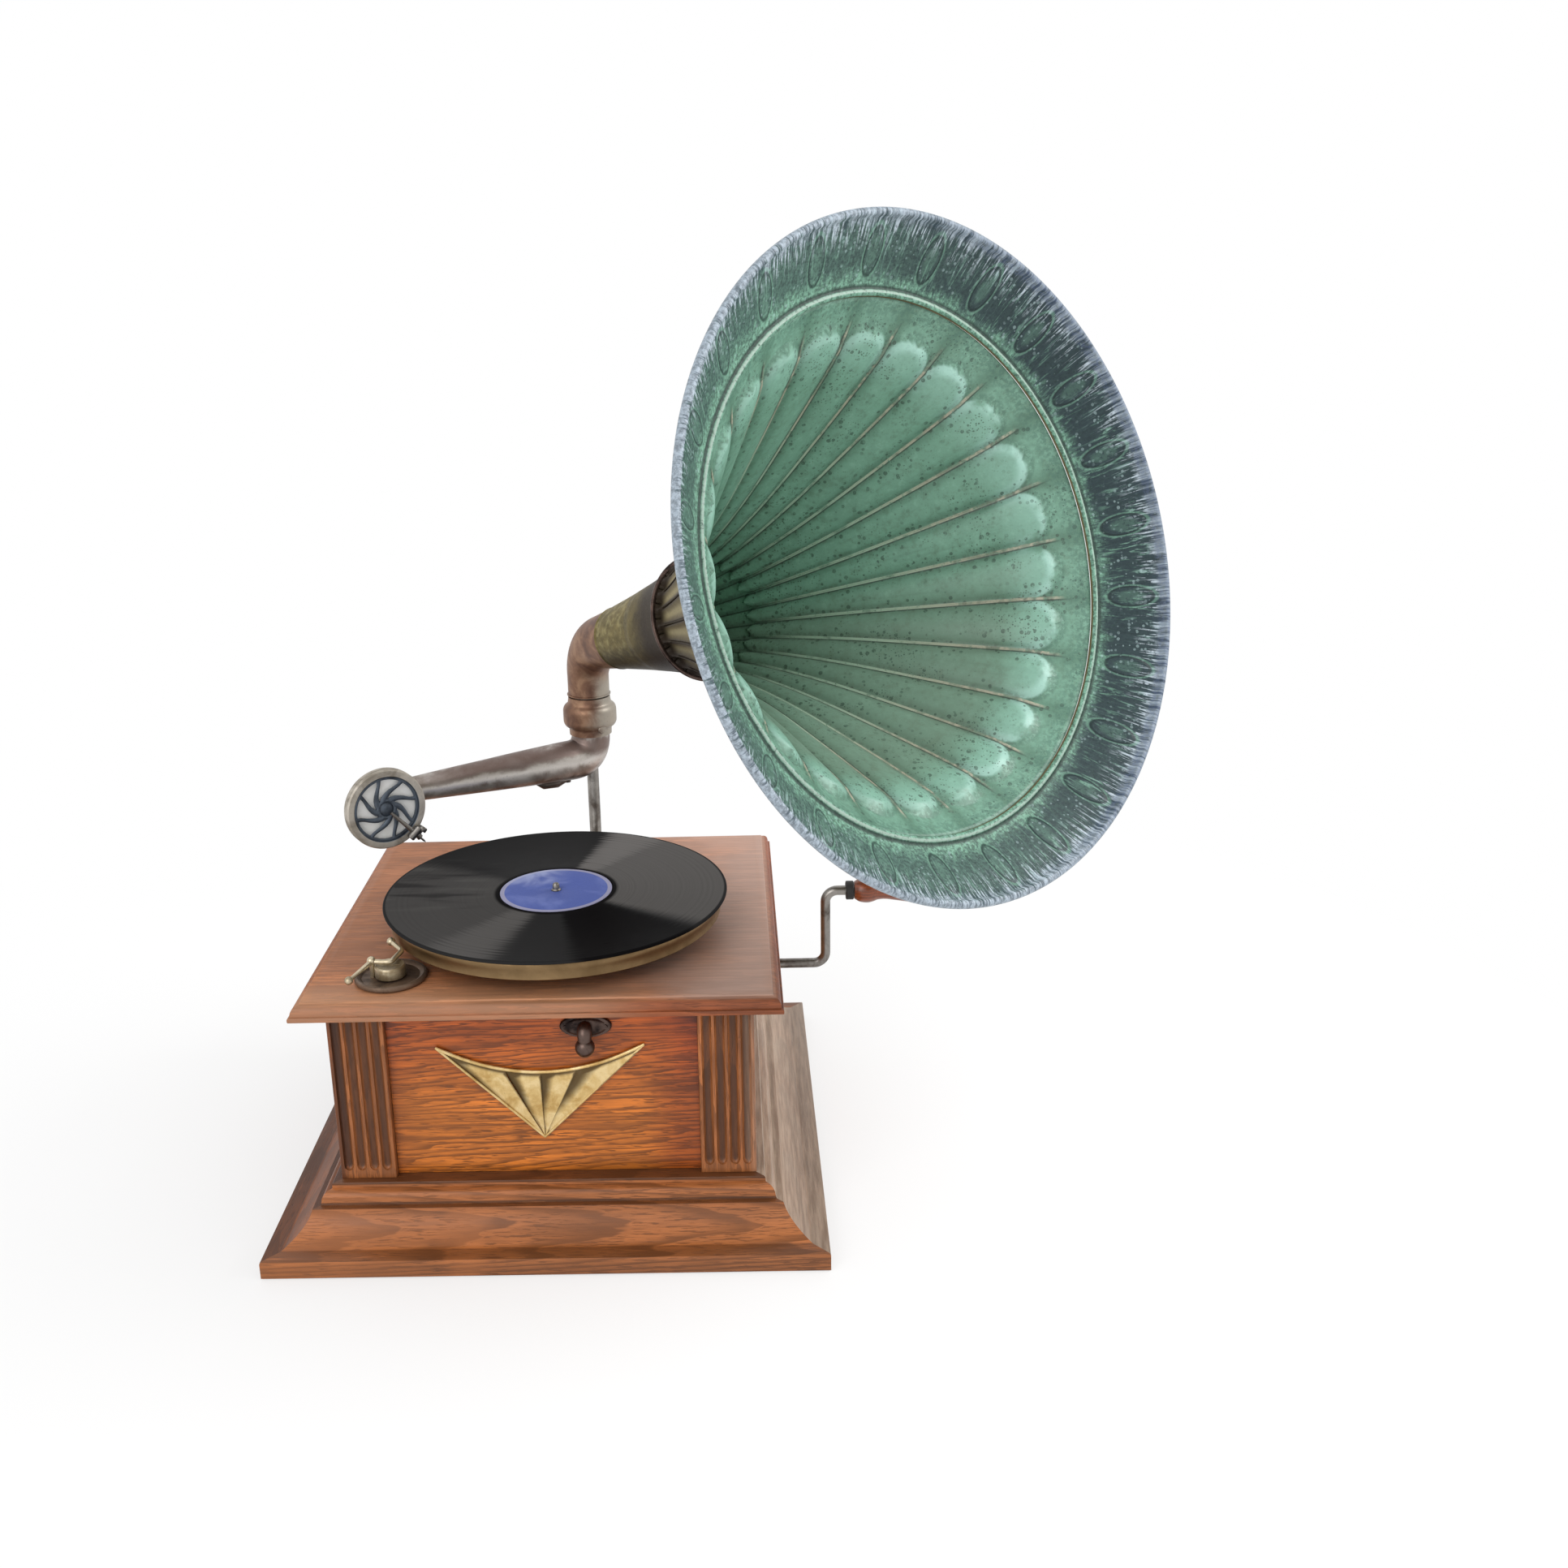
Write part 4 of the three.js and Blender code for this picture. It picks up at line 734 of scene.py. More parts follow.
def finish_named(name):
    """Each shared finish is made once, from its row and the sidebar's colours."""
    if name in made_finishes:
        return made_finishes[name]
    case = bpy.context.scene.gramophone_case
    makers = {
        "gilt_fan": gilt_finish,
        "coppery_nickel": copper_finish,
        "arm_nickel": arm_finish,
        "diaphragm_mica": mica_finish,
        "turntable_felt": lambda: plain_finish(name, tint("33422f"), 0.95, 2.5, 0.4, specular=0.1),
        "ferrule_black": lambda: plain_finish(name, tint("201e1d"), 0.55),
    }
    if name in makers:
        made = makers[name]()
    else:
        colour, *values = OAKS[name] if name in OAKS else METALS[name]
        colour = getattr(case, colour) if hasattr(case, colour) else tint(colour)
        if name in OAKS:
            made = oak(name, colour, *values[:-1], **values[-1])
        else:
            made = aged_metal(name, colour, tint(values[0]), *values[1:])
    made_finishes[name] = made
    return made


def gilt_finish():
    """Gold paint rubbed thin, with painted shade in its hollows."""
    f = Finish("gilt_fan", roughness=0.42, metallic=0.55)
    space = f.object_space()
    cloud = f.noise(space, 0.09, 4.0, 0.6, 0.5)
    fine = f.noise(space, 0.8, 3.0)
    hollow = f.attribute("hollow")
    body = f.shades(cloud, (0.35, tint("bd9a5c")), (0.5, tint("d2b478")), (0.66, tint("e2c994")))
    body = f.lay(body, "6b5328", f.mask(fine, 0.58, 0.75), 0.3)
    # Painted shade in the scoops of the blades and under the border
    body = f.lay(body, "44300f", f.mask(hollow, 0.05, 0.8), 0.92)
    f.paint(body)
    f.relief(fine, 0.1, 0.5)
    return f.material


def copper_finish():
    """Plating worn through to copper, with a painted pale grey highlight on the crank's side."""
    f = Finish("coppery_nickel", roughness=0.46, metallic=0.6)
    space = f.object_space(PIVOT)
    cloud = f.noise(space, 0.06, 4.0, 0.6, 0.4)
    fine = f.noise(space, 0.6, 4.0, 0.65)
    body = f.shades(cloud, (0.36, tint("63473a")), (0.5, tint("7e5d49")), (0.64, tint("98775e")))
    # Painted highlight: pale grey on the crank's side, low on the piece
    across = f.plus(f.parts(space)[0], f.times(cloud, 24))
    low = f.mask(f.parts(space)[2], 352, 334)
    body = f.lay(body, "a09c91", f.mask(across, 12, 26), low, 0.8)
    body = f.lay(body, "3c2c22", f.mask(fine, 0.56, 0.72), 0.2)
    f.paint(body)
    f.relief(fine, 0.06, 0.5)
    return f.material


def arm_finish():
    """Nickel, brown on top, with a painted highlight along the side and painted shade below."""
    f = Finish("arm_nickel", roughness=0.36, metallic=0.6)
    space = f.object_space(PIVOT + Vector((0, 0, 274)))
    parts = f.parts(space)
    cloud = f.noise(space, 0.05, 4.0, 0.6, 0.4)
    fine = f.noise(space, 0.6, 4.0, 0.65)
    out = f.plus(f.times(parts[0], ARM_OUT.x), f.times(parts[1], ARM_OUT.y))
    thick = f.less(16.6, f.times(out, 0.043))
    height = f.plus(f.over(parts[2], thick), f.times(f.less(cloud, 0.5), 0.9))
    body = f.shades(cloud, (0.36, tint("8c8279")), (0.5, tint("a59d96")), (0.66, tint("bab3ad")))
    brown = f.times(f.mask(height, 0.22, 0.55), f.mask(out, 178, 110), f.mask(height, 1.25, 0.95))
    body = f.lay(body, "66514a", brown, 0.8)
    # Painted highlight along the side
    shine = f.times(f.mask(height, -0.35, -0.05), f.mask(height, 0.4, 0.15), f.mask(out, -12, 6))
    body = f.lay(body, "dad5cf", shine, 0.68)
    # Painted shade on the underside
    low = f.times(f.mask(height, -0.6, -0.95), f.mask(out, 150, 60))
    body = f.lay(body, "3d332e", low, 0.75)
    body = f.lay(body, "4a3f38", f.mask(fine, 0.58, 0.72), 0.3)
    f.paint(body)
    f.dull(f.ranged(fine, 0.28, 0.5))
    f.relief(fine, 0.05, 0.4)
    return f.material


def mica_finish():
    """Clear pale sheet with a faint cloud."""
    f = Finish("diaphragm_mica", roughness=0.15, specular=1.0)
    space = f.object_space()
    cloud = f.noise(space, 0.06, 4.0)
    f.paint(f.shades(cloud, (0.3, tint("f1f0ec")), (0.7, tint("fdfdfb"))))
    f.relief(cloud, 0.3, 0.3)
    return f.material


# Case


class GRAMOPHONE_OT_base(Operator):
    """Moulded base with mitred corners"""

    bl_idname = "gramophone.base"
    bl_label = "Base Moulding"

    def execute(self, context):
        case = context.scene.gramophone_case
        plinth = [(61, 0), (0.6, 0), (0, 0.6), (0, 11.8), (0.4, 13.0), (1.6, 13.6), (11.6, 13.7)]
        cove = [(12.6, 14.1), (22.5, 19.4), (28.7, 26.1), (31, 34.2)]
        profile = [
            *plinth, *interpolate_bezier(*[Vector(point) for point in cove], 18), (35.6, 34.2),
            (35.9, 35.2), *quarter_round(42.4, 37, 6, 6.2, 6), (43, 43.4), (43.2, 46.4),
            (43.8, 47), (61, 47),
        ]
        bm = bmesh.new()
        mitred(bm, profile, case.base_width / 2 / MM, case.base_depth / 2 / MM)
        for face in bm.faces:
            middle = face.calc_center_median() / MM
            side = abs(middle.x) / (case.base_width / 2 / MM)
            front = abs(middle.y) / (case.base_depth / 2 / MM)
            face.material_index = 1 if side > front else 0
        finishes = ["base_oak_x", "base_oak_y"]
        finish_piece("base_moulded", bm, "case", finishes, ["base_moulding"], 40)
        return {"FINISHED"}


class GRAMOPHONE_OT_posts(Operator):
    """Fluted corner posts whose flutes end in round scoops"""

    bl_idname = "gramophone.posts"
    bl_label = "Corner Posts"

    def outline(self, width, flutes, radius, share):
        """Outline of a post at one height; share is how far its flutes are open there."""
        spacing = 9
        first = (width - spacing * (flutes - 1)) / 2
        steps = 10
        half = radius * share
        points = [(-width, width), (-width, 0.4), (-width + 0.4, 0)]
        for k in range(flutes):
            centre = -width + first + k * spacing
            for i in range(steps + 1):
                turn = math.pi * (1 - i / steps)
                points.append((centre + half * math.cos(turn), 0.9 * half * math.sin(turn)))
        points += [(-0.7, 0), (-0.2, 0.2), (0, 0.7)]
        for k in range(flutes):
            centre = first + k * spacing
            for i in range(steps + 1):
                turn = math.pi * (1 - i / steps)
                points.append((-0.9 * half * math.sin(turn), centre + half * math.cos(turn)))
        return points + [(0, width - 0.4), (-0.4, width)]

    def execute(self, context):
        case = context.scene.gramophone_case
        # Side of a post, radius of a flute, height of the plain foot, bottom and top
        width, radius, foot, low, high = 39, 3.5, 6, 47.3, 178.7
        stations = [(low, 0.02), (low + foot - 0.01, 0.02)]
        for i in range(1, 8):
            turn = math.radians(90 * i / 7)
            stations.append((low + foot + radius * 1.4 * (1 - math.cos(turn)), math.sin(turn)))
        stations += [(high - 60, 1.0), (high, 1.0)]
        places = [
            ("post_front_right", 0, 147, -141, "pilaster_front_right"),
            ("post_back_right", 90, 147, 141, "pilaster_back_right"),
            ("post_back_left", 180, -147, 141, "pilaster_back_left"),
            ("post_front_left", 270, -147, -141, "pilaster_front_left"),
        ]
        for name, turn, x, y, node in places:
            bm = bmesh.new()
            hollow = bm.verts.layers.float.new("hollow")
            loops = []
            for height, share in stations:
                points = self.outline(width, case.flutes, radius, share)
                verts = [bm.verts.new((px * MM, py * MM, height * MM)) for px, py in points]
                for vert, (px, py) in zip(verts, points):
                    depth = py if px > -width + 1 and py < radius else -px if px > -radius else 0
                    vert[hollow] = max(0.0, depth) / (0.9 * radius)
                ring = list(zip(verts, verts[1:] + verts[:1]))
                loops.append([bm.edges.new(pair) for pair in ring])
            for here, ahead in zip(loops, loops[1:]):
                bmesh.ops.bridge_loops(bm, edges=here + ahead)
            bmesh.ops.contextual_create(bm, geom=loops[0])
            bmesh.ops.contextual_create(bm, geom=loops[-1])
            shift_all(bm, moved(x, y, 0) @ Matrix.Rotation(math.radians(turn), 4, "Z"))
            finish_piece(name, bm, "case", "post_oak", [node], 30)
        return {"FINISHED"}


class GRAMOPHONE_OT_deck(Operator):
    """Top board with its moulded edge"""

    bl_idname = "gramophone.deck"
    bl_label = "Deck Board"

    def execute(self, context):
        case = context.scene.gramophone_case
        profile = [
            (12, 179), (1.2, 179), (0.3, 179.4), (0, 180.2), (0, 182), (0.4, 182.6), (1.6, 182.9),
            *quarter_round(6.6, 183.4, 5, 6.4, 8), (7.1, 190.1), (7.3, 190.6), (7.8, DECK_TOP),
            (14, DECK_TOP),
        ]
        bm = bmesh.new()
        mitred(bm, profile, case.deck_width / 2 / MM, case.deck_depth / 2 / MM, capped=True)
        finish_piece("deck_moulded", bm, "case", "deck_oak", ["deck_board"], 40)
        return {"FINISHED"}


class GRAMOPHONE_OT_fan(Operator):
    """Gilt fan of four scooped blades in a thin raised border"""

    bl_idname = "gramophone.fan"
    bl_label = "Fan Ornament"

    def execute(self, context):
        # Heights of the point, of the tips and of the top edge's middle, and half the width
        apex, tip, sag, half = 75.5, 146.5, 126.5, 72.4

        def top_edge(x):
            return sag + (tip - sag) * (x / half) ** 2

        bm = bmesh.new()
        cuts = [-half * 0.985, -25.5, -0.5, 24.5, half * 0.985]
        hollow = bm.verts.layers.float.new("hollow")
        for left, right in zip(cuts, cuts[1:]):
            made = bmesh.ops.create_grid(bm, x_segments=14, y_segments=22, size=0.5)
            for vert in made["verts"]:
                across, up = vert.co.x + 0.5, vert.co.y + 0.5
                x = left + (right - left) * across
                z = top_edge(x) - 1.0
                reach = 0.02 + 0.97 * up
                swell = math.sin(math.pi * across)
                rise = min(1.0, across / 0.5)
                scoop = 0.5 + 2.0 * (3 * rise**2 - 2 * rise**3)
                lip = min(1.0, (1 - up) / 0.07)
                height = scoop * (0.35 + 0.65 * reach) + 0.7 - 0.9 * swell * reach
                height = 1.2 + (height - 1.2) * lip
                vert.co = Vector((x * reach, -max(0.5, height), apex + (z - apex) * reach)) * MM
                # How deep a point lies in its blade's scoop or under the border, for the painted
                # shade there
                recess = max(0.0, 1 - across / 0.42) * min(1.0, max(0.0, reach - 0.25) / 0.5)
                vert[hollow] = min(
                    1.0,
                    recess**0.7 + max(0.0, (up - 0.93) / 0.07) + 0.7 * max(0, across - 0.93) / 0.07,
                )
        count = 24
        border = [
            Vector((half - 2 * half * i / count, -1.6, top_edge(half - 2 * half * i / count)))
            for i in range(count + 1)
        ]
        left_tip, right_tip, point = border[-1], border[0], Vector((0, -1.6, apex))
        for path in (border, [left_tip, point], [right_tip, point]):
            add_pipe(bm, path, [0.9, *[1.25] * (len(path) - 2), 0.9], 10)
        shift_all(bm, moved(-1.5, -135.3, 0))
        finish_piece(
            "fan_gilt", bm, "case", "gilt_fan", ["fan_ornament"], 30,
            keep_normals=True,
        )
        return {"FINISHED"}


class GRAMOPHONE_OT_catch(Operator):
    """Oval plate and ball knob of the turn catch"""

    bl_idname = "gramophone.catch"
    bl_label = "Deck Catch"

    def execute(self, context):
        bm = turned(
            [
                (0, 0), (18, 0), (18, 1.2), (17.2, 2.2), (14.5, 2.6), (13.6, 3.4), (11, 4.4),
                (3.6, 4.9), (0, 4.9),
            ],
            48,
        )
        bmesh.ops.scale(bm, vec=(1, 0.48, 1), verts=bm.verts)
        upright = Matrix.Rotation(math.radians(90), 4, "X")
        shift_all(bm, moved(*CATCH) @ upright)
        for side in (-1, 1):
            screw = moved(CATCH.x + side * 13.6, CATCH.y - 2.4, CATCH.z) @ upright
            turn_profile(bm, [(0, 0), (1.9, 0), (1.6, 1.2), (0, 1.6)], 16, screw)
        finish_piece("catch_oval", bm, "case", "dark_bronze", ["catch_plate"])

        bm = bmesh.new()
        neck = smooth_table(
            [
                (0, -3, 0, 3.4), (0, -8, 1.6, 5.2), (0, -11, -1, 5.2), (0, -12.2, -5.5, 4.6),
                (0, -12.3, -7, 4.4),
            ],
            16,
        )
        add_pipe(bm, [row.xyz for row in neck], [row.w for row in neck], 20)
        add_ball(bm, (0, -12.2, -10.4), 6.8)
        shift_all(bm, moved(*CATCH))
        finish_piece("catch_ball", bm, "catch", "dark_bronze", ["catch_knob"])
        return {"FINISHED"}


class GRAMOPHONE_OT_hinges(Operator):
    """Butt hinges with split knuckles and screws at the back of the deck"""

    bl_idname = "gramophone.hinges"
    bl_label = "Hinges"

    def execute(self, context):
        # The line that both hinges turn about
        y, z = 139, 175
        for name, x in (("hinge_left", -70), ("hinge_right", 70)):
            bm = bmesh.new()
            for k in range(5):
                span = moved(x - 20 + 8 * k + 0.15, y, z) @ ALONG_X
                turn_profile(
                    bm, [(0, 0), (2.7, 0), (3, 0.3), (3, 7.4), (2.7, 7.7), (0, 7.7)], 20, span,
                )
            add_block(bm, (x - 20, y - 3.7, z - 20), (x + 20, y - 2.2, z), 0.3)
            add_block(bm, (x - 20, y - 1, z + 2.1), (x + 20, y + 16, z + 3.6), 0.3)
            for dx in (-14, 0, 14):
                screw = moved(x + dx, y - 2.3, z - 12) @ Matrix.Rotation(math.radians(-90), 4, "X")
                turn_profile(bm, [(0, 0), (2.4, 0), (2.0, 0.7), (0, 0.9)], 16, screw)
            finish_piece(name + "_brass", bm, "case", "aged_brass", [name])
        return {"FINISHED"}


# Deck fittings


class GRAMOPHONE_OT_controls(Operator):
    """Speed control with its dish and knob, and the bent brake arm"""

    bl_idname = "gramophone.controls"
    bl_label = "Speed Control And Brake"

    def speed_control(self):
        at_dial = moved(*DIAL)
        bm = turned(
            [
                (3.2, 0.3), (24, 0.3), (25, 1.2), (25, 2.4), (24.4, 3.7), (23, 4), (21.4, 3.2),
                (20, 2), (12, 1.7), (3.2, 1.7),
            ],
            64, at_dial, closed=True,
        )
        finish_piece("speed_dish", bm, "case", "dish_brown", ["speed_dial"])
        bm = turned(
            [
                (0, -20), (2.5, -20), (2.5, 2.3), (10.2, 2.3), (10.7, 2.8), (10.8, 9.4),
                (10.4, 10.3), (9.6, 10.8), (8.8, 10.4), (0, 10.2),
            ],
            48, at_dial,
        )
        arm = at_dial @ Matrix.Rotation(math.radians(18), 4, "Z")
        add_block(bm, (0, -1.9, -19.8), (26, 1.9, -18), 0.3, matrix=arm)
        add_block(bm, (-7, -0.6, 10.0), (7, 0.6, 10.5), 0.1, matrix=at_dial)
        finish_piece(
            "speed_knob_turned", bm, "speed_control", "bright_brass", ["speed_knob"],
        )

    def brake(self):
        z = DECK_TOP + 13
        tip = Vector((-126.8, -145, z - 1.5))
        post = Vector((BRAKE.x, BRAKE.y, z))
        bend = Vector((-103.4, -119.6, z))
        shoe = Vector((-99, -102.2, z + 0.6))
        end = Vector((-109, -90.4, z + 2.4))
        bm = bmesh.new()
        add_pipe(bm, rounded_path([tip, post, bend, shoe, end], 2.4, 5), [1.3] + [1.9] * 20, 14)
        turn_profile(
            bm, [(0, 179.6), (1.7, 179.6), (1.7, z + 2.4), (0, z + 2.8)], 20,
            moved(BRAKE.x, BRAKE.y, 0),
        )
        add_ball(bm, tip, 2.9)
        add_ball(bm, post + Vector((0, 0, 0.8)), 3.1)
        add_ball(bm, end, 3.1)
        finish_piece("brake_arm", bm, "brake", "bright_brass", ["brake_lever"])

    def execute(self, context):
        self.speed_control()
        self.brake()
        return {"FINISHED"}


class GRAMOPHONE_OT_turntable(Operator):
    """Turntable plate with a rolled brass rim, its felt and the spindle"""

    bl_idname = "gramophone.turntable"
    bl_label = "Turntable"

    def execute(self, context):
        at_spindle = moved(*SPINDLE)
        bm = turned(
            [
                (4.1, 203.5), (14, 203.5), (15, 205), (16, 212.4), (116, 212.2), (119.4, 211),
                (119.7, 204.4), (120.2, 203.6), (121.4, 203.5), (122, 204.2), (121.5, 206.2),
                (121.5, 210), (122, 211.2), (122, 214.2), (121.4, 215.2), (120.2, 215.5),
                (4.1, 215.5),
            ],
            144, at_spindle, closed=True,
        )
        finish_piece(
            "platter_turned", bm, "turntable", "aged_brass", ["turntable_platter"],
        )
        bm = turned(
            [(4.1, 215.7), (117.6, 215.7), (118, 216.2), (117.6, 216.8), (4.1, 216.8)], 96,
            at_spindle, closed=True,
        )
        finish_piece("mat_felt", bm, "turntable", "turntable_felt", ["turntable_mat"])
        bm = turned(
            [
                (0, 83), (1.5, 83), (1.5, 86.3), (3.55, 86.3), (3.55, 149), (6, 149), (6, 156),
                (3.55, 156), (3.55, 196), (9, 196), (9, 203.2), (3.55, 203.2), (3.55, 219.6),
                (2.7, 220.6), (2.5, 223.6), (1.8, 224.6), (0, 225),
            ],
            32, at_spindle,
        )
        finish_piece("spindle_turned", bm, "turntable", "plain_steel", ["spindle"])
        return {"FINISHED"}


# Painted sheens of the grooves: direction and half width in degrees, feather, brightness
PAINTED_SHEENS = ((203, 50, 9, 0.050), (243, 9, 6, 0.082), (21, 52, 5, 0.090), (64, 9, 4, 0.125))
# The wedge left without the painted grey reflection: direction, half widths where it begins and
# where it is whole
WEDGE_WITHOUT_REFLECTION = (-57, 25, 18)
# Painted grey reflection of the grooves everywhere else
GROOVE_REFLECTION_GREY = (0.018, 0.018, 0.018)


def record_finish(settings):
    """Shellac with painted wedges of sheen and a painted grey reflection on its grooves, a painted
    reflection smear on its left, and rougher scuffs of long use.
    """
    f = Finish("record_shellac", roughness=0.34, specular=0.004)
    space = f.object_space(SPINDLE)
    parts = f.parts(space)
    radius = f.distance(parts[0], parts[1])
    bands = f.noise(f.node("CombineXYZ", {"X": radius}).outputs[0], 0.5, 4.0)
    scuff = f.noise(space, 0.05, 5.0, 0.65, 1.0)
    past_label = f.mask(radius, 44, 47)
    in_grooves = f.times(past_label, f.mask(radius, 125.5, 124.5))
    wander = f.times(f.less(bands, 0.5), 0.09)

    def wedge(direction, begins, whole):
        """1 within the narrower half width of a direction and 0 outside the wider, in degrees."""
        at = math.radians(direction)
        ahead = f.plus(f.times(parts[0], math.cos(at)), f.times(parts[1], math.sin(at)))
        ahead = f.plus(f.over(ahead, radius), wander)
        return f.mask(ahead, math.cos(math.radians(begins)), math.cos(math.radians(whole)))

    body = f.mix(bands, shade(settings.shellac, 0.75), shade(settings.shellac, 1.4))
    # Painted sheen: grey wedges of reflection laid over the grooves
    for direction, half, feather, brightness in PAINTED_SHEENS:
        lit = wedge(direction, half + feather, max(0, half - feather))
        painted_sheen = f.times(lit, in_grooves, f.ranged(bands, 0.8, 1.0, 0.3, 0.7))
        grey = (brightness * 1.04, brightness * 0.98, brightness * 0.94)
        body = f.lay(body, grey, painted_sheen)
    # Painted grey reflection on the grooves everywhere but the black wedge
    outside = f.less(1.0, wedge(*WEDGE_WITHOUT_REFLECTION))
    body = f.lay(body, GROOVE_REFLECTION_GREY, past_label, outside, 0.9, mode="ADD")
    # Painted reflection on the left: a pale smear with darker streaks
    drawn = f.node(
        "Mapping", {"Vector": space, "Rotation": (0, 0, -0.1), "Scale": (0.014, 0.075, 1)},
    )
    reflection_smear = f.noise(drawn.outputs[0], 1.0, 2.0)
    left_reflection = f.times(
        f.mask(parts[0], -38, -70), f.mask(parts[1], -45, -15), f.mask(parts[1], 75, 40),
        in_grooves,
    )
    body = f.lay(body, shade(settings.shellac, 2.2), left_reflection, f.mask(reflection_smear, 0.50, 0.70), 0.6)
    body = f.lay(body, (0.12, 0.12, 0.11), left_reflection, f.mask(reflection_smear, 0.46, 0.34), 0.3)
    f.paint(body)
    f.dull(f.ranged(scuff, 0.2, 0.45))
    f.relief(bands, 0.05, 0.4)
    return f.material


def label_finish(settings):
    """Blue paper with a pale ring, faded to one side."""
    f = Finish("label_paper", roughness=0.62, specular=0.35)
    space = f.object_space(SPINDLE)
    parts = f.parts(space)
    radius = f.distance(parts[0], parts[1])
    paper = f.noise(space, 0.9, 5.0)
    faded = f.noise(space, 0.03, 3.0, 0.5, 0.5)
    body = f.mix(paper, shade(settings.label_blue, 0.82), shade(settings.label_blue, 1.2))
    body = f.lay(body, "8291cf", f.mask(faded, 0.46, 0.66), 0.35)
    outer = settings.label_radius / MM
    rings = f.mask(radius, outer - 3.4, outer - 3.0)
    body = f.lay(body, settings.label_edge, rings, 0.8)
    rubbed = f.times(f.mask(parts[1], 4, 22), f.mask(parts[0], 14, -12), f.mask(faded, 0.40, 0.58))
    body = f.lay(body, "a9b2d6", rubbed, 0.6)
    f.paint(body)
    f.relief(paper, 0.05, 0.5)
    return f.material


class GRAMOPHONE_OT_record(Operator):
    """The record and its paper label"""

    bl_idname = "gramophone.record"
    bl_label = "Record"

    def execute(self, context):
        settings = context.scene.gramophone_record
        at_spindle = moved(*SPINDLE)
        label = settings.label_radius / MM
        top, low = RECORD_TOP, 217.0
        bm = turned(
            [
                (3.75, low), (125.6, low), (126.6, low + 0.3), (127, low + 0.9), (127, top - 0.7),
                (126.6, top - 0.15), (125.6, top), (124, top - 0.1), (123.4, top - 0.25),
                (53, top - 0.3), (52, top - 0.12), (label + 2.2, top - 0.12), (label + 1.4, top),
                (label + 0.6, top - 0.25), (3.75, top - 0.25),
            ],
            192, at_spindle, closed=True,
        )
        finish_piece(
            "record_disc", bm, "record", record_finish(settings), ["record"], 25,
        )
        bm = turned(
            [
                (3.75, top - 0.24), (label, top - 0.24), (label, top + 0.12),
                (label - 0.3, top + 0.2), (4.2, top + 0.2), (3.75, top),
            ],
            96, at_spindle, closed=True,
        )
        finish_piece(
            "record_label_paper", bm, "record", label_finish(settings), ["record_label"],
            25,
        )
        return {"FINISHED"}


class GRAMOPHONE_OT_crank(Operator):
    """Crank rod, its plate on the case, ferrule and turned grip"""

    bl_idname = "gramophone.crank"
    bl_label = "Crank"

    def rod(self):
        corners = [
            (68, 0, CRANK_HEIGHT), (205, 0, CRANK_HEIGHT), (205, 0, CRANK_TOP), (222, 0, CRANK_TOP),
        ]
        path = rounded_path(corners, 9, 9)
        bm = bmesh.new()
        add_pipe(bm, path, [3.7] * len(path), 24)
        axle = moved(220, 0, CRANK_TOP) @ ALONG_X
        turn_profile(bm, [(0, 0), (2.4, 0), (2.4, 76), (0, 76)], 16, axle)
        finish_piece("crank_bent_rod", bm, "crank", "plain_steel", ["crank_rod"])

    def plate(self):
        on_case = moved(141.3, 0, CRANK_HEIGHT) @ ALONG_X
        bm = turned(
            [(4.3, 0), (15, 0), (15, 1), (14.2, 1.9), (9, 2.3), (7.4, 3), (4.3, 3)], 48, on_case,
            closed=True,
        )
        add_screws(bm, on_case, 90, 11.4, 1.9, [(0, 0), (1.7, 0), (1.5, 0.8), (0, 1.0)], 14)
        finish_piece("crank_plate", bm, "case", "aged_brass", ["crank_escutcheon"])

    def grip(self):
        on_grip = moved(HANDLE_START, 0, CRANK_TOP) @ ALONG_X
        bm = turned(
            [(2.7, -1.5), (6.6, -1.5), (7.2, -0.9), (7.2, 3.8), (6.7, 4.5), (2.7, 4.5)], 40,
            on_grip, closed=True,
        )
        finish_piece(
            "crank_ferrule_black", bm, "crank", "ferrule_black", ["crank_ferrule"],
        )
        shape = [
            (6.6, 5), (9.0, 9), (9.8, 14.5), (9.0, 19), (7.6, 23), (7.3, 29), (8.4, 37), (10.1, 49),
            (10.8, 59), (10.6, 67), (9.4, 73.5), (7, 78.5), (3.6, 81),
        ]
        profile = [(2.7, 5), *smooth_table(shape, 60), (2.7, 80.9)]
        bm = turned(profile, 40, on_grip, closed=True)
        finish_piece(
            "crank_grip_turned", bm, "crank_grip", "handle_wood", ["crank_handle"],
        )

    def execute(self, context):
        self.rod()
        self.plate()
        self.grip()
        return {"FINISHED"}


# Support, collar and tone arm


class GRAMOPHONE_OT_support(Operator):
    """Rod and foot that carry the tone arm and the horn"""

    bl_idname = "gramophone.support"
    bl_label = "Support Rod"

    def execute(self, context):
        at_pivot = moved(*PIVOT)
        bm = turned(
            [
                (0, 191.3), (7.2, 191.3), (7.4, 191.6), (7.4, 198.6), (6.8, 199.6), (5.2, 200),
                (4.85, 200.6), (4.85, 314), (0, 314),
            ],
            40, at_pivot,
        )
        finish_piece(
            "support_rod_turned", bm, "case", "plain_steel", ["support_rod"],
        )
        bm = turned(
            [(7.8, 191.3), (19, 191.3), (19, 193.2), (18.2, 194.3), (11, 195), (7.8, 195)], 48,
            at_pivot, closed=True,
        )
        add_screws(bm, at_pivot, 30, 14.5, 194.3, [(0, 0), (2.2, 0), (1.9, 0.9), (0, 1.2)], 16)
        finish_piece("rod_foot", bm, "case", "worn_nickel", ["rod_flange"])
        return {"FINISHED"}


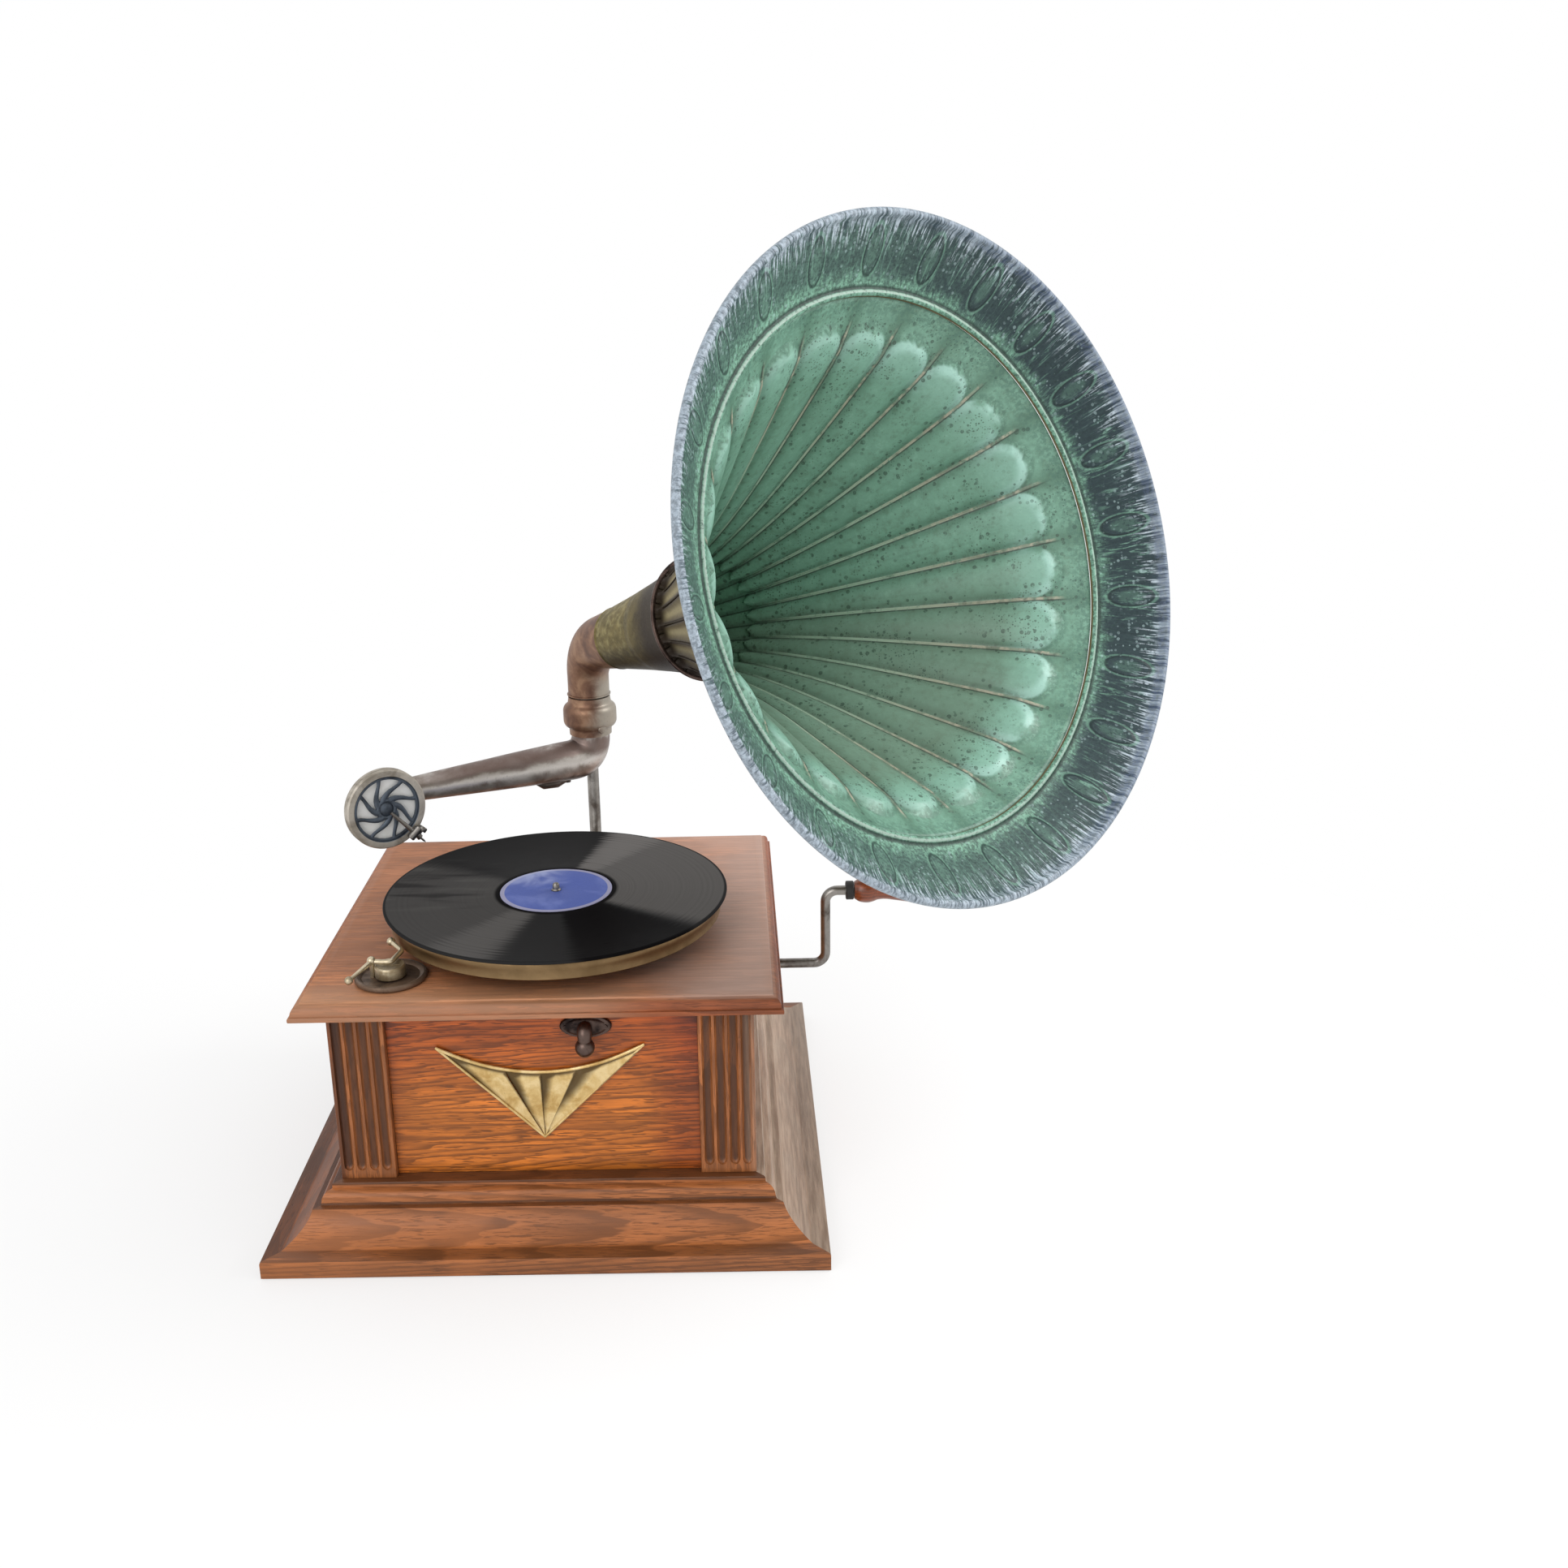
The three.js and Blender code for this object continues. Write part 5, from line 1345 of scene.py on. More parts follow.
class GRAMOPHONE_OT_collar(Operator):
    """Ball collar with its bands and trunnion pins"""

    bl_idname = "gramophone.collar"
    bl_label = "Swivel Collar"

    def execute(self, context):
        barrel = [
            (17.4, 293), (17.5, 296), (17.9, 298.6), (20.4, 300.6), (21.8, 303.2), (22, 306.5),
            (22, 311.5), (21.8, 314.6), (20.6, 317.2), (18.4, 319), (17.6, 321.4), (17.2, 324.8),
        ]
        bore = [(16, 325), (15.1, 325), (15.1, 306), (17.2, 306), (17.2, 293)]
        bm = turned([*smooth_table(barrel, 32), *bore], 64, moved(*PIVOT), closed=True)
        for side in (-1, 1):
            out = ARM_PLACE @ moved(0, 0, 300) @ Matrix.Rotation(math.radians(-90 * side), 4, "X")
            turn_profile(
                bm,
                [(0, 12.6), (1.5, 12.6), (1.5, 19), (3.4, 19), (3.6, 20.6), (3.0, 21.4), (0, 21.8)],
                20, out,
            )
        finish_piece(
            "collar_turned", bm, "collar", "coppery_nickel", ["swivel_collar"],
        )
        return {"FINISHED"}


class GRAMOPHONE_OT_tone_arm(Operator):
    """Tapered tone arm with its elbow, and the crook that holds the sound box"""

    bl_idname = "gramophone.tone_arm"
    bl_label = "Tone Arm"

    def arm(self):
        table = [
            (0, 0, 303, 15.4), (0, 0, 294, 15.6), (0.6, 0, 287, 16.0), (3.4, 0, 279.7, 16.4),
            (9, 0, 274.6, 16.6), (17, 0, 272.6, 16.5), (30, 0, 272.8, 16.1), (65, 0, 273.4, 14.7),
            (100, 0, 274.0, 12.9), (140, 0, 274.8, 10.8), (176, 0, 275.2, 8.8),
        ]
        rows = smooth_table(table, 70)
        bm = bmesh.new()
        add_pipe(bm, [row.xyz for row in rows], [row.w for row in rows], 48)
        # The oval slot that the support rod passes through
        slot = bmesh.new()
        bmesh.ops.create_circle(slot, segments=40, radius=1, cap_ends=True)
        bmesh.ops.scale(slot, vec=(9.4 * MM, 5.9 * MM, 1), verts=slot.verts)
        bmesh.ops.translate(slot, vec=(0, 0, 245 * MM), verts=slot.verts)
        grown = bmesh.ops.extrude_face_region(slot, geom=slot.faces[:])["geom"]
        lifted = [g for g in grown if isinstance(g, bmesh.types.BMVert)]
        bmesh.ops.translate(slot, vec=(0, 0, 66 * MM), verts=lifted)
        bm = carved(bm, slot)
        add_pipe(bm, [(24, 0, 259.4), (24, 0, 254.4)], [3.4, 2.8], 16)
        add_pipe(
            bm, [(25, 0, 258), (34, 0, 255.8), (46, 0, 256.4), (52, 0, 259)], [3.2, 4.4, 4.0, 2.0],
            16,
        )
        for at, radius, half in ((166, 9.9, 1.6), (174.4, 9.8, 1.1)):
            inner = radius - 1.6
            ring = [(inner, -half), (radius, -half + 0.3), (radius, half - 0.3), (inner, half)]
            turn_profile(bm, ring, 48, moved(at, 0, 275.1) @ ALONG_X)
        shift_all(bm, ARM_PLACE)
        finish_piece(
            "tonearm_drawn", bm, "tonearm", "arm_nickel", ["tonearm_tube"], 50,
        )

    def crook(self):
        bm = bmesh.new()
        path = rounded_path([(16.5, 0, -34), (0, 0, -34), (0, 0, -13.3)], 11, 12)
        add_pipe(bm, path, [7] * len(path), 36)
        turn_profile(
            bm, [(6, -19), (8, -19), (8.3, -18.5), (8.3, -16), (8, -15.6), (6, -15.6)], 36,
        )
        shift_all(bm, BOX_PLACE)
        finish_piece(
            "crook_bent", bm, "tonearm", "worn_nickel", ["soundbox_crook"], 50,
        )

    def execute(self, context):
        self.arm()
        self.crook()
        return {"FINISHED"}


# Back of the sound box, measured from its face, and radius of its rim
BOX_BACK, BOX_RIM = -13, 31


class GRAMOPHONE_OT_sound_box(Operator):
    """Sound box with swept spokes over its diaphragm, the stylus bar and the needle"""

    bl_idname = "gramophone.sound_box"
    bl_label = "Sound Box"

    def shell(self):
        bm = turned(
            [
                (6, BOX_BACK), (10, BOX_BACK), (11, BOX_BACK + 1), (12.5, BOX_BACK + 3),
                (27.6, BOX_BACK + 3.4), (30, BOX_BACK + 4.2), (BOX_RIM, BOX_BACK + 5.4),
                (BOX_RIM, -4.2), (30.2, -3.8), (30.2, -3.0), (BOX_RIM, -2.6), (BOX_RIM, -1.2),
                (30, -0.2), (28, 0), (25.8, -0.1), (25.4, -0.5), (25.3, BOX_BACK + 7),
                (6, BOX_BACK + 6),
            ],
            72, BOX_PLACE, closed=True,
        )
        face_on = BOX_PLACE.inverted()
        for face in bm.faces:
            middle = face_on @ face.calc_center_median() / MM
            inside = math.hypot(middle.x, middle.y) < 25.9 and middle.z > -9
            face.material_index = 1 if inside else 0
        finishes = ["pale_nickel", "blued_steel"]
        finish_piece(
            "soundbox_turned", bm, "soundbox", finishes, ["soundbox_shell"], 30,
        )

    def diaphragm(self):
        bm = turned(
            [(0, BOX_BACK + 7.3), (25.4, BOX_BACK + 7.3), (25.4, BOX_BACK + 8), (0, BOX_BACK + 8)],
            64, BOX_PLACE,
        )
        finish_piece("diaphragm_sheet", bm, "soundbox", "diaphragm_mica", ["diaphragm"])

    def spokes(self):
        bm = turned(
            [(23.2, -2.6), (25.2, -2.6), (25.2, -0.9), (24.6, -0.6), (23.4, -0.8)], 64, closed=True,
        )
        turn_profile(
            bm, [(5.4, -2.8), (8.2, -2.8), (8.6, -2.0), (8.0, -0.9), (6.8, -0.5), (5.6, -1)], 40,
            closed=True,
        )
        turn_profile(
            bm, [(0, -3.4), (5.6, -3.4), (5.6, -2.4), (4.4, -1.6), (2.2, -0.9), (0, -0.8)], 28,
        )
        for k in range(8):
            start = math.radians(45 * k + 20)
            path = []
            for i in range(11):
                share = i / 10
                reach = 6.8 + 17 * share
                turn = start - 0.95 * (1 - (1 - share) ** 2)
                path.append((reach * math.cos(turn), reach * math.sin(turn), -1.7))
            add_pipe(
                bm, path, [2.3, 2.3, 2.2, 2.0, 1.8, 1.65, 1.5, 1.4, 1.4, 1.5, 1.9], 10, flat=0.6,
            )
        shift_all(bm, BOX_PLACE)
        finish_piece(
            "soundbox_spokes", bm, "soundbox", "blued_steel", ["soundbox_grille"], 40,
        )

    def needle(self):
        bm = bmesh.new()
        add_pipe(
            bm, [(2, -2.4, 1.6), (10, -11.4, 2.8), (18, -20.6, 4), (22.6, -25.9, 4)],
            [1.1, 1.4, 2.0, 2.4], 16,
        )
        across = BOX_PLACE @ moved(18.6, -21.3, 4.2) @ Matrix.Rotation(-0.86, 4, "Z")
        shift_all(bm, BOX_PLACE)
        turn_profile(
            bm, [(0, -5.4), (2.6, -5.4), (3.2, -4.8), (3.2, 4.8), (2.6, 5.4), (0, 5.4)], 24,
            across @ Matrix.Rotation(math.radians(90), 4, "X"),
        )
        turn_profile(
            bm, [(0, -1), (1.3, -1), (1.3, 4), (3.2, 4.2), (3.5, 5), (3.5, 7), (3, 7.8), (0, 8)],
            24, BOX_PLACE @ moved(21, -24, 4) @ Matrix.Rotation(0.85, 4, "Z") @ ALONG_X,
        )
        finish_piece("stylus_bar", bm, "soundbox", "plain_steel", ["needle_bar"])
        bm = bmesh.new()
        add_pipe(bm, [(22.9, -26.3, 4), (25.4, -29.1, 4), (26.6, -30.5, 4)], [0.85, 0.8, 0.18], 14)
        shift_all(bm, BOX_PLACE)
        finish_piece("needle_point", bm, "soundbox", "plain_steel", ["needle"])

    def execute(self, context):
        self.shell()
        self.diaphragm()
        self.spokes()
        self.needle()
        return {"FINISHED"}


# Horn


# Where the neck begins along the horn's axis, in millimetres
NECK_START = 50
# Where a wire ring closes the neck and the petals begin, and its radius
RING_AT, RING_RADIUS = 157, 44.4
# Where the round ends of the petals lie
PETAL_END = 363
# Height and half width of the raised rib between two petals
RIB_HEIGHT, RIB_HALF = 1.7, 1.15
# The bell's sheet: distance along the axis and radius
BELL = [
    (100.3, 32.3), (130, 37.6), (160, 45.4), (200, 61.0), (240, 80.5), (280, 103.5), (320, 127.5),
    (350, 147), (376.6, 169.4),
]
# Rows of its mesh along the axis, close together where the petals end
BELL_ROWS = [
    100.4, 108, 116, 124, 132, 140, 148, 153, *range(156, 176, 2), *range(176, 326, 6),
    *[326 + 1.1 * i for i in range(37)], 368, 371, 374, 376.4,
]
# Columns across one petal, as shares of its width, close together at the ribs
PETAL_COLUMNS = [
    0, 0.016, 0.036, 0.065, 0.11, 0.18, 0.28, 0.39, 0.5, 0.61, 0.72, 0.82, 0.89, 0.935, 0.964,
    0.984,
]


class GRAMOPHONE_OT_horn_elbow(Operator):
    """Elbow pipe that carries the horn on the sleeve"""

    bl_idname = "gramophone.horn_elbow"
    bl_label = "Horn Elbow"

    def execute(self, context):
        bottom = PIVOT + Vector((0, 0, COLLAR_TOP + 1))
        path = rounded_path([bottom, HORN_CORNER, HORN_CORNER + HORN_AXIS * 25], 24, 18)
        path += [HORN_CORNER + HORN_AXIS * along for along in (30, 36, 43, NECK_START)]
        radii = [17] + [17 + 4.6 * (i / 18) ** 1.2 for i in range(19)] + [
            21.7, 22.3, 23.0, 23.7, 24.2,
        ]
        bm = bmesh.new()
        add_pipe(bm, path, radii, 56, capped=False)
        add_pipe(bm, path, [radius - 1.5 for radius in radii], 56, capped=False)
        rims = [e for e in bm.edges if e.is_boundary]
        for end in (bottom * MM, path[-1] * MM):
            bmesh.ops.bridge_loops(
                bm, edges=[e for e in rims if (e.verts[0].co - end).length < 26 * MM]
            )
        band = [(16.6, -0.8), (17.9, -0.4), (17.9, 0.4), (16.6, 0.8)]
        turn_profile(bm, band, 56, moved(PIVOT.x, PIVOT.y, COLLAR_TOP + 1.8))
        finish_piece(
            "horn_elbow_pipe", bm, "horn", "coppery_nickel", ["horn_elbow"], 50,
        )
        return {"FINISHED"}


def horn_outside(settings):
    """Olive bronze, dark before the ring, then petals with a painted highlight in their middles,
    painted shade in their creases and roots, and painted shade on the underside.
    """
    f = Finish("horn_bronze_outside", roughness=0.55, metallic=0.15, specular=0.15)
    space = f.object_space()
    cloud = f.noise(space, 0.11, 4.0, 0.6, 0.4)
    fine = f.noise(space, 0.5, 4.0, 0.7)
    along, rib = f.attribute("along_mm"), f.attribute("rib_mm")
    middle = f.over(rib, f.times(f.attribute("radius_mm"), math.pi / settings.petals))

    # The neck, spotted near the elbow and dark before the ring
    body = f.shades(
        cloud, (0.36, shade(settings.bronze, 0.78)), (0.5, settings.bronze),
        (0.62, shade(settings.bronze, 1.35)),
    )
    spots = f.mask(f.noise(space, 0.17, 2.0, 0.5), 0.42, 0.70)
    body = f.lay(body, "9a9064", spots, f.mask(along, 118, 88), 0.55)
    body = f.lay(body, "3a3222", f.mask(fine, 0.55, 0.72), 0.45)
    body = f.lay(body, "2b221c", f.mask(along, 98, 136), 0.92)

    # The petals, with a painted highlight in their middles and painted shade at their roots and
    # creases, and the plain sheet beyond them
    petal = f.mix(cloud, tint("4f4632"), tint("6f6448"))
    petal = f.lay(petal, "a0956f", f.mask(middle, 0.25, 0.9), 0.6)
    petal = f.lay(petal, "251c17", f.mask(along, RING_AT + 22, RING_AT + 4), 0.92)
    petal = f.lay(petal, "2c241c", f.mask(rib, 2.4, 0.6), 0.85)
    sheet = f.mix(cloud, tint("5b5139"), tint("81765a"))
    petal = f.lay(petal, sheet, f.mask(along, 370, 378))
    petal = f.lay(petal, "3a3226", f.mask(fine, 0.54, 0.72), 0.4)
    body = f.lay(body, petal, f.mask(along, RING_AT - 1, RING_AT + 2))

    # Painted shade on the underside of the bell
    upright = f.parts(f.attribute("sweep", "Vector"))[1]
    underside_shade = f.times(f.mask(upright, 0.05, -0.75), f.mask(along, 250, 170), 0.75)
    f.paint(f.mix(underside_shade, body, tint("1f1814")))
    f.dull(f.ranged(fine, 0.40, 0.64))
    f.relief(fine, 0.12, 0.5)
    return f.material


class GRAMOPHONE_OT_horn_neck(Operator):
    """Tapered neck between the elbow and the bell"""

    bl_idname = "gramophone.horn_neck"
    bl_label = "Horn Neck"

    def execute(self, context):
        settings = context.scene.gramophone_horn
        start = NECK_START - 1.5
        profile = [
            (20.5, start), (24.4, start), (25.1, start + 0.5), (25.1, start + 1.6),
            (24.7, start + 2.2), (26.2, 60), (28.2, 74), (30.1, 87), (31.55, 96), (32.3, 100.39),
            (31.3, 100.39), (30.4, 96), (28.8, 86), (25.0, 60), (22.8, start + 3),
            (20.5, start + 3),
        ]
        bm = turned(profile, 72, HORN_PLACE, closed=True)
        piece = finish_piece(
            "horn_neck_spun", bm, "horn", horn_outside(settings), ["horn_neck"], 35
        )
        mark_horn(piece, settings.petals)
        return {"FINISHED"}


def mark_horn(piece, petals):
    """Keeps at each point how far the nearest rib is, on which side, and where the point lies."""
    inverse = HORN_PLACE.inverted()
    ribs, sides, radii, alongs, sweeps = [], [], [], [], []
    step = 2 * math.pi / petals
    for vert in piece.data.vertices:
        local = inverse @ vert.co / MM
        radius = math.hypot(local.x, local.y)
        turn = math.atan2(local.y, local.x) / step
        off = (turn - round(turn)) * step * radius
        ribs.append(abs(off))
        sides.append(-off if local.x > 0 else off)
        radii.append(radius)
        alongs.append(local.z)
        sweeps += [local.x / radius, local.y / radius, radius / 100]
    for name, values in (
        ("rib_mm", ribs), ("below_rib_mm", sides), ("radius_mm", radii), ("along_mm", alongs)
    ):
        piece.data.attributes.new(name, "FLOAT", "POINT").data.foreach_set("value", values)
    piece.data.attributes.new("sweep", "FLOAT_VECTOR", "POINT").data.foreach_set("vector", sweeps)


def speckles(f, space, scale, size, share):
    """Round specks of irregular size, on a share of the cells of a random pattern."""
    cells = f.node("TexVoronoi", {"Vector": space, "Scale": scale, "Randomness": 1.0})
    chance = f.node("SeparateColor", {"Color": cells.outputs["Color"]}).outputs
    reach = f.ranged(chance[1], size * 0.45, size)
    inside = f.math("LESS_THAN", cells.outputs["Distance"], reach)
    return f.times(inside, f.math("LESS_THAN", chance[0], share))


def bell_inside(settings):
    """Green paint, speckled dark along pale worn ribs, with painted shade beside them and a painted
    shadow under each, and a painted highlight on each petal's round end.
    """
    f = Finish("bell_green", roughness=0.44, specular=0.5)
    rib, radius, along = f.attribute("rib_mm"), f.attribute("radius_mm"), f.attribute("along_mm")
    sweep = f.attribute("sweep", "Vector")
    space = f.object_space()
    cloud = f.noise(space, 0.03, 4.0, 0.6, 0.3)
    fine = f.noise(space, 0.35, 4.0, 0.7)
    strokes = f.noise(f.stretched(sweep, (26, 26, 2.2)), 1.0, 4.0, 0.6)
    half = f.times(radius, math.pi / settings.petals)
    middle = f.over(rib, half)

    # Mottled paint, with painted shade along the ribs
    body = f.mix(cloud, shade(settings.green, 0.80), shade(settings.green, 1.12))
    body = f.lay(body, shade(settings.deep_green, 2.0), f.mask(along, 215, 96))
    body = f.lay(body, shade(settings.green, 0.62), f.mask(strokes, 0.50, 0.75), 0.35)
    mottle = f.noise(space, 0.13, 5.0, 0.72)
    body = f.lay(body, "58735f", f.mask(mottle, 0.48, 0.66), 0.42)
    body = f.lay(body, "93c0aa", f.mask(mottle, 0.46, 0.32), 0.3)
    body = f.lay(body, shade(settings.deep_green, 0.7), f.mask(middle, 0.6, 0.0), 0.58)

    # The petals' round ends: reach is 1 on their outline and less within it
    off = f.less(half, rib)
    run = f.larger(f.plus(along, f.less(f.times(half, 0.8), PETAL_END)), 0.0)
    run = f.times(run, 1.25)
    reach = f.over(f.distance(off, run), half)
    near_end = f.mask(along, PETAL_END - 34, PETAL_END - 6)
    # Painted highlight on the petals' round ends, stronger on the crank side
    crank_side = f.mask(f.parts(sweep)[0], -0.4, 0.5)
    lit = f.times(
        near_end, f.mask(reach, 0.98, 0.90), f.mask(reach, 0.50, 0.84), f.mask(cloud, 0.34, 0.5),
    )
    body = f.lay(body, "b2dbd0", lit, f.plus(f.times(crank_side, 0.34), 0.24))
    body = f.lay(body, "9ecdbd", near_end, f.mask(reach, 0.95, 0.5), 0.3)
    lower = f.mask(f.parts(sweep)[1], 0.15, -0.5)
    body = f.lay(body, "6f7869", lower, f.mask(along, 356, 322), 0.48)
    outline = f.times(
        f.mask(along, PETAL_END - 26, PETAL_END - 10), f.mask(reach, 0.90, 0.99),
        f.mask(reach, 1.16, 1.03),
    )
    body = f.lay(body, "3d6152", outline, f.mask(fine, 0.36, 0.55), 0.5)

    # Dark specks, in flocks and along the ribs
    near_rib = f.mask(rib, 14, 1.5)
    flock = f.noise(space, 0.022, 3.0, 0.6)
    clustered = f.smaller(f.plus(f.mask(flock, 0.46, 0.60), 0.12), 1.0)
    small = f.times(speckles(f, space, 0.6, 0.42, 0.5), clustered)
    large = f.times(
        speckles(f, space, 0.24, 0.42, 0.4), f.smaller(f.plus(near_rib, clustered), 1.0),
    )
    body = f.lay(body, "33463a", f.larger(small, large), f.mask(fine, 0.30, 0.52), 0.7)
    dark_bands = f.times(f.mask(radius, 154, 166), f.mask(fine, 0.40, 0.58))
    body = f.lay(body, "42675b", dark_bands, 0.55)

    # Dirt and painted shade beside the ribs, a painted shadow line under each and bare metal on top
    inside = f.mask(radius, 163, 150)
    patch = f.noise(space, 0.07, 3.0, 0.6)
    under = f.attribute("below_rib_mm")
    dirt_and_rib_shade = f.times(
        f.mask(rib, 5.0, 1.0), f.mask(fine, 0.42, 0.60), inside, f.mask(patch, 0.36, 0.56),
    )
    body = f.lay(body, "4d5449", dirt_and_rib_shade, 0.5)
    # Painted shadow: a dark line on the lower side of each rib
    line = f.times(
        f.mask(rib, 0.5, 1.0), f.mask(rib, 2.3, 1.5), f.mask(under, 0.1, 0.6),
        f.mask(fine, 0.28, 0.46), inside,
    )
    body = f.lay(body, "2c3830", line, 0.8)
    worn = f.times(
        f.mask(rib, 1.35, 0.6), f.mask(fine, 0.30, 0.44), f.mask(radius, 158, 151),
        f.mask(radius, 42, 62),
    )
    worn = f.times(worn, f.plus(f.times(f.mask(patch, 0.34, 0.48), 0.6), 0.4))
    worn = f.times(
        worn, f.less(1.0, f.times(f.mask(along, 290, 335), f.mask(patch, 0.44, 0.54), 0.8)),
    )
    body = f.lay(body, f.mix(f.mask(along, 240, 330), tint("adc3ae"), tint("b6ad99")), worn, 0.9)

    f.paint(body)
    f.dull(f.ranged(fine, 0.3, 0.56))
    f.relief(
        f.times(f.mask(reach, 1.02, 0.7), f.mask(along, PETAL_END - 60, PETAL_END - 20)), 2.2, 0.6,
    )
    f.relief(fine, 0.25, 0.4)
    f.relief(f.larger(small, large), 0.15, 0.4)
    return f.material


class GRAMOPHONE_OT_horn_bell(Operator):
    """Petalled bell: swelling petals with round ends between worn ribs"""

    bl_idname = "gramophone.horn_bell"
    bl_label = "Horn Bell"

    def pressed(self, radius, along, from_rib, half, depth):
        """Radius of the sheet where the petals swell inwards and the ribs between them stand up."""
        root, end = RING_AT + 1, PETAL_END
        # How far a petal has run into its round end or root, and half its width there
        near_end = (along - (end - half * 0.8)) / (half * 0.8)
        near_root = (root + half * 1.2 - along) / (half * 1.2)
        run = min(1.0, max(0.0, near_end, near_root))
        open_half = half * math.sqrt(1 - run * run)
        off_middle = half - from_rib
        swell = math.sqrt(1 - (off_middle / open_half) ** 2) if off_middle < open_half else 0.0
        grow = 0.6 + 0.4 * min(radius / 110, 1.0)
        ridge = math.exp(-((from_rib / RIB_HALF) ** 2)) * min(1.0, max(0, along - root) / 20)
        fade = 1.0 if along < end - 10 else max(0.0, (end + 2 - along) / 12)
        return radius - depth * grow * swell**1.5 - RIB_HEIGHT * ridge * fade

    def execute(self, context):
        settings = context.scene.gramophone_horn
        petals, wall = settings.petals, settings.wall / MM
        depth = settings.petal_depth / MM
        columns = len(PETAL_COLUMNS)
        fine = smooth_table(BELL, 600)
        rows = [next(row for row in fine if row.x >= height) for height in BELL_ROWS]
        bm = turned([(row.y - wall, row.x) for row in rows], petals * columns)
        step = 2 * math.pi / petals
        for vert in bm.verts:
            local = vert.co / MM
            radius = math.hypot(local.x, local.y)
            index = round(math.atan2(local.y, local.x) / (step / columns)) % (petals * columns)
            petal, column = divmod(index, columns)
            share = PETAL_COLUMNS[column]
            turn = (petal + share) * step
            from_rib = min(share, 1 - share) * step * radius
            radius = self.pressed(radius, local.z, from_rib, radius * step / 2, depth)
            vert.co = Vector((radius * math.cos(turn), radius * math.sin(turn), local.z)) * MM
        bmesh.ops.recalc_face_normals(bm, faces=bm.faces)
        shift_all(bm, HORN_PLACE)
        axis_point = HORN_PLACE @ Vector((0, 0, 250 * MM))
        outward = sum(f.normal.dot(axis_point - f.calc_center_median()) for f in bm.faces)
        if outward < 0:
            bmesh.ops.reverse_faces(bm, faces=bm.faces)
        piece = finish_piece(
            "horn_bell_petals", bm, "horn", [bell_inside(settings), horn_outside(settings)],
            ["horn_bell"], 60, keep_normals=True,
        )
        mark_horn(piece, petals)
        shell = piece.modifiers.new("wall", "SOLIDIFY")
        shell.thickness, shell.offset = settings.wall, -1
        shell.material_offset, shell.material_offset_rim = 1, 1

        outer = RING_RADIUS + wall
        ring = [
            (outer - 1.2, RING_AT - 1.6), (outer + 0.6, RING_AT - 1.6),
            (outer + 1.5, RING_AT - 1.0), (outer + 1.8, RING_AT), (outer + 1.5, RING_AT + 1.0),
            (outer + 0.6, RING_AT + 1.6), (outer - 1.2, RING_AT + 1.6),
        ]
        bm = turned(ring, 96, HORN_PLACE, closed=True)
        finish_piece("horn_wire_ring", bm, "horn", "dark_bronze", [], 60)
        return {"FINISHED"}


# Pressed ovals of the flare: radius of the ring they stand in, half width and half length
OVALS_AT, OVAL_WIDTH, OVAL_LENGTH = 191, 7.2, 12.6


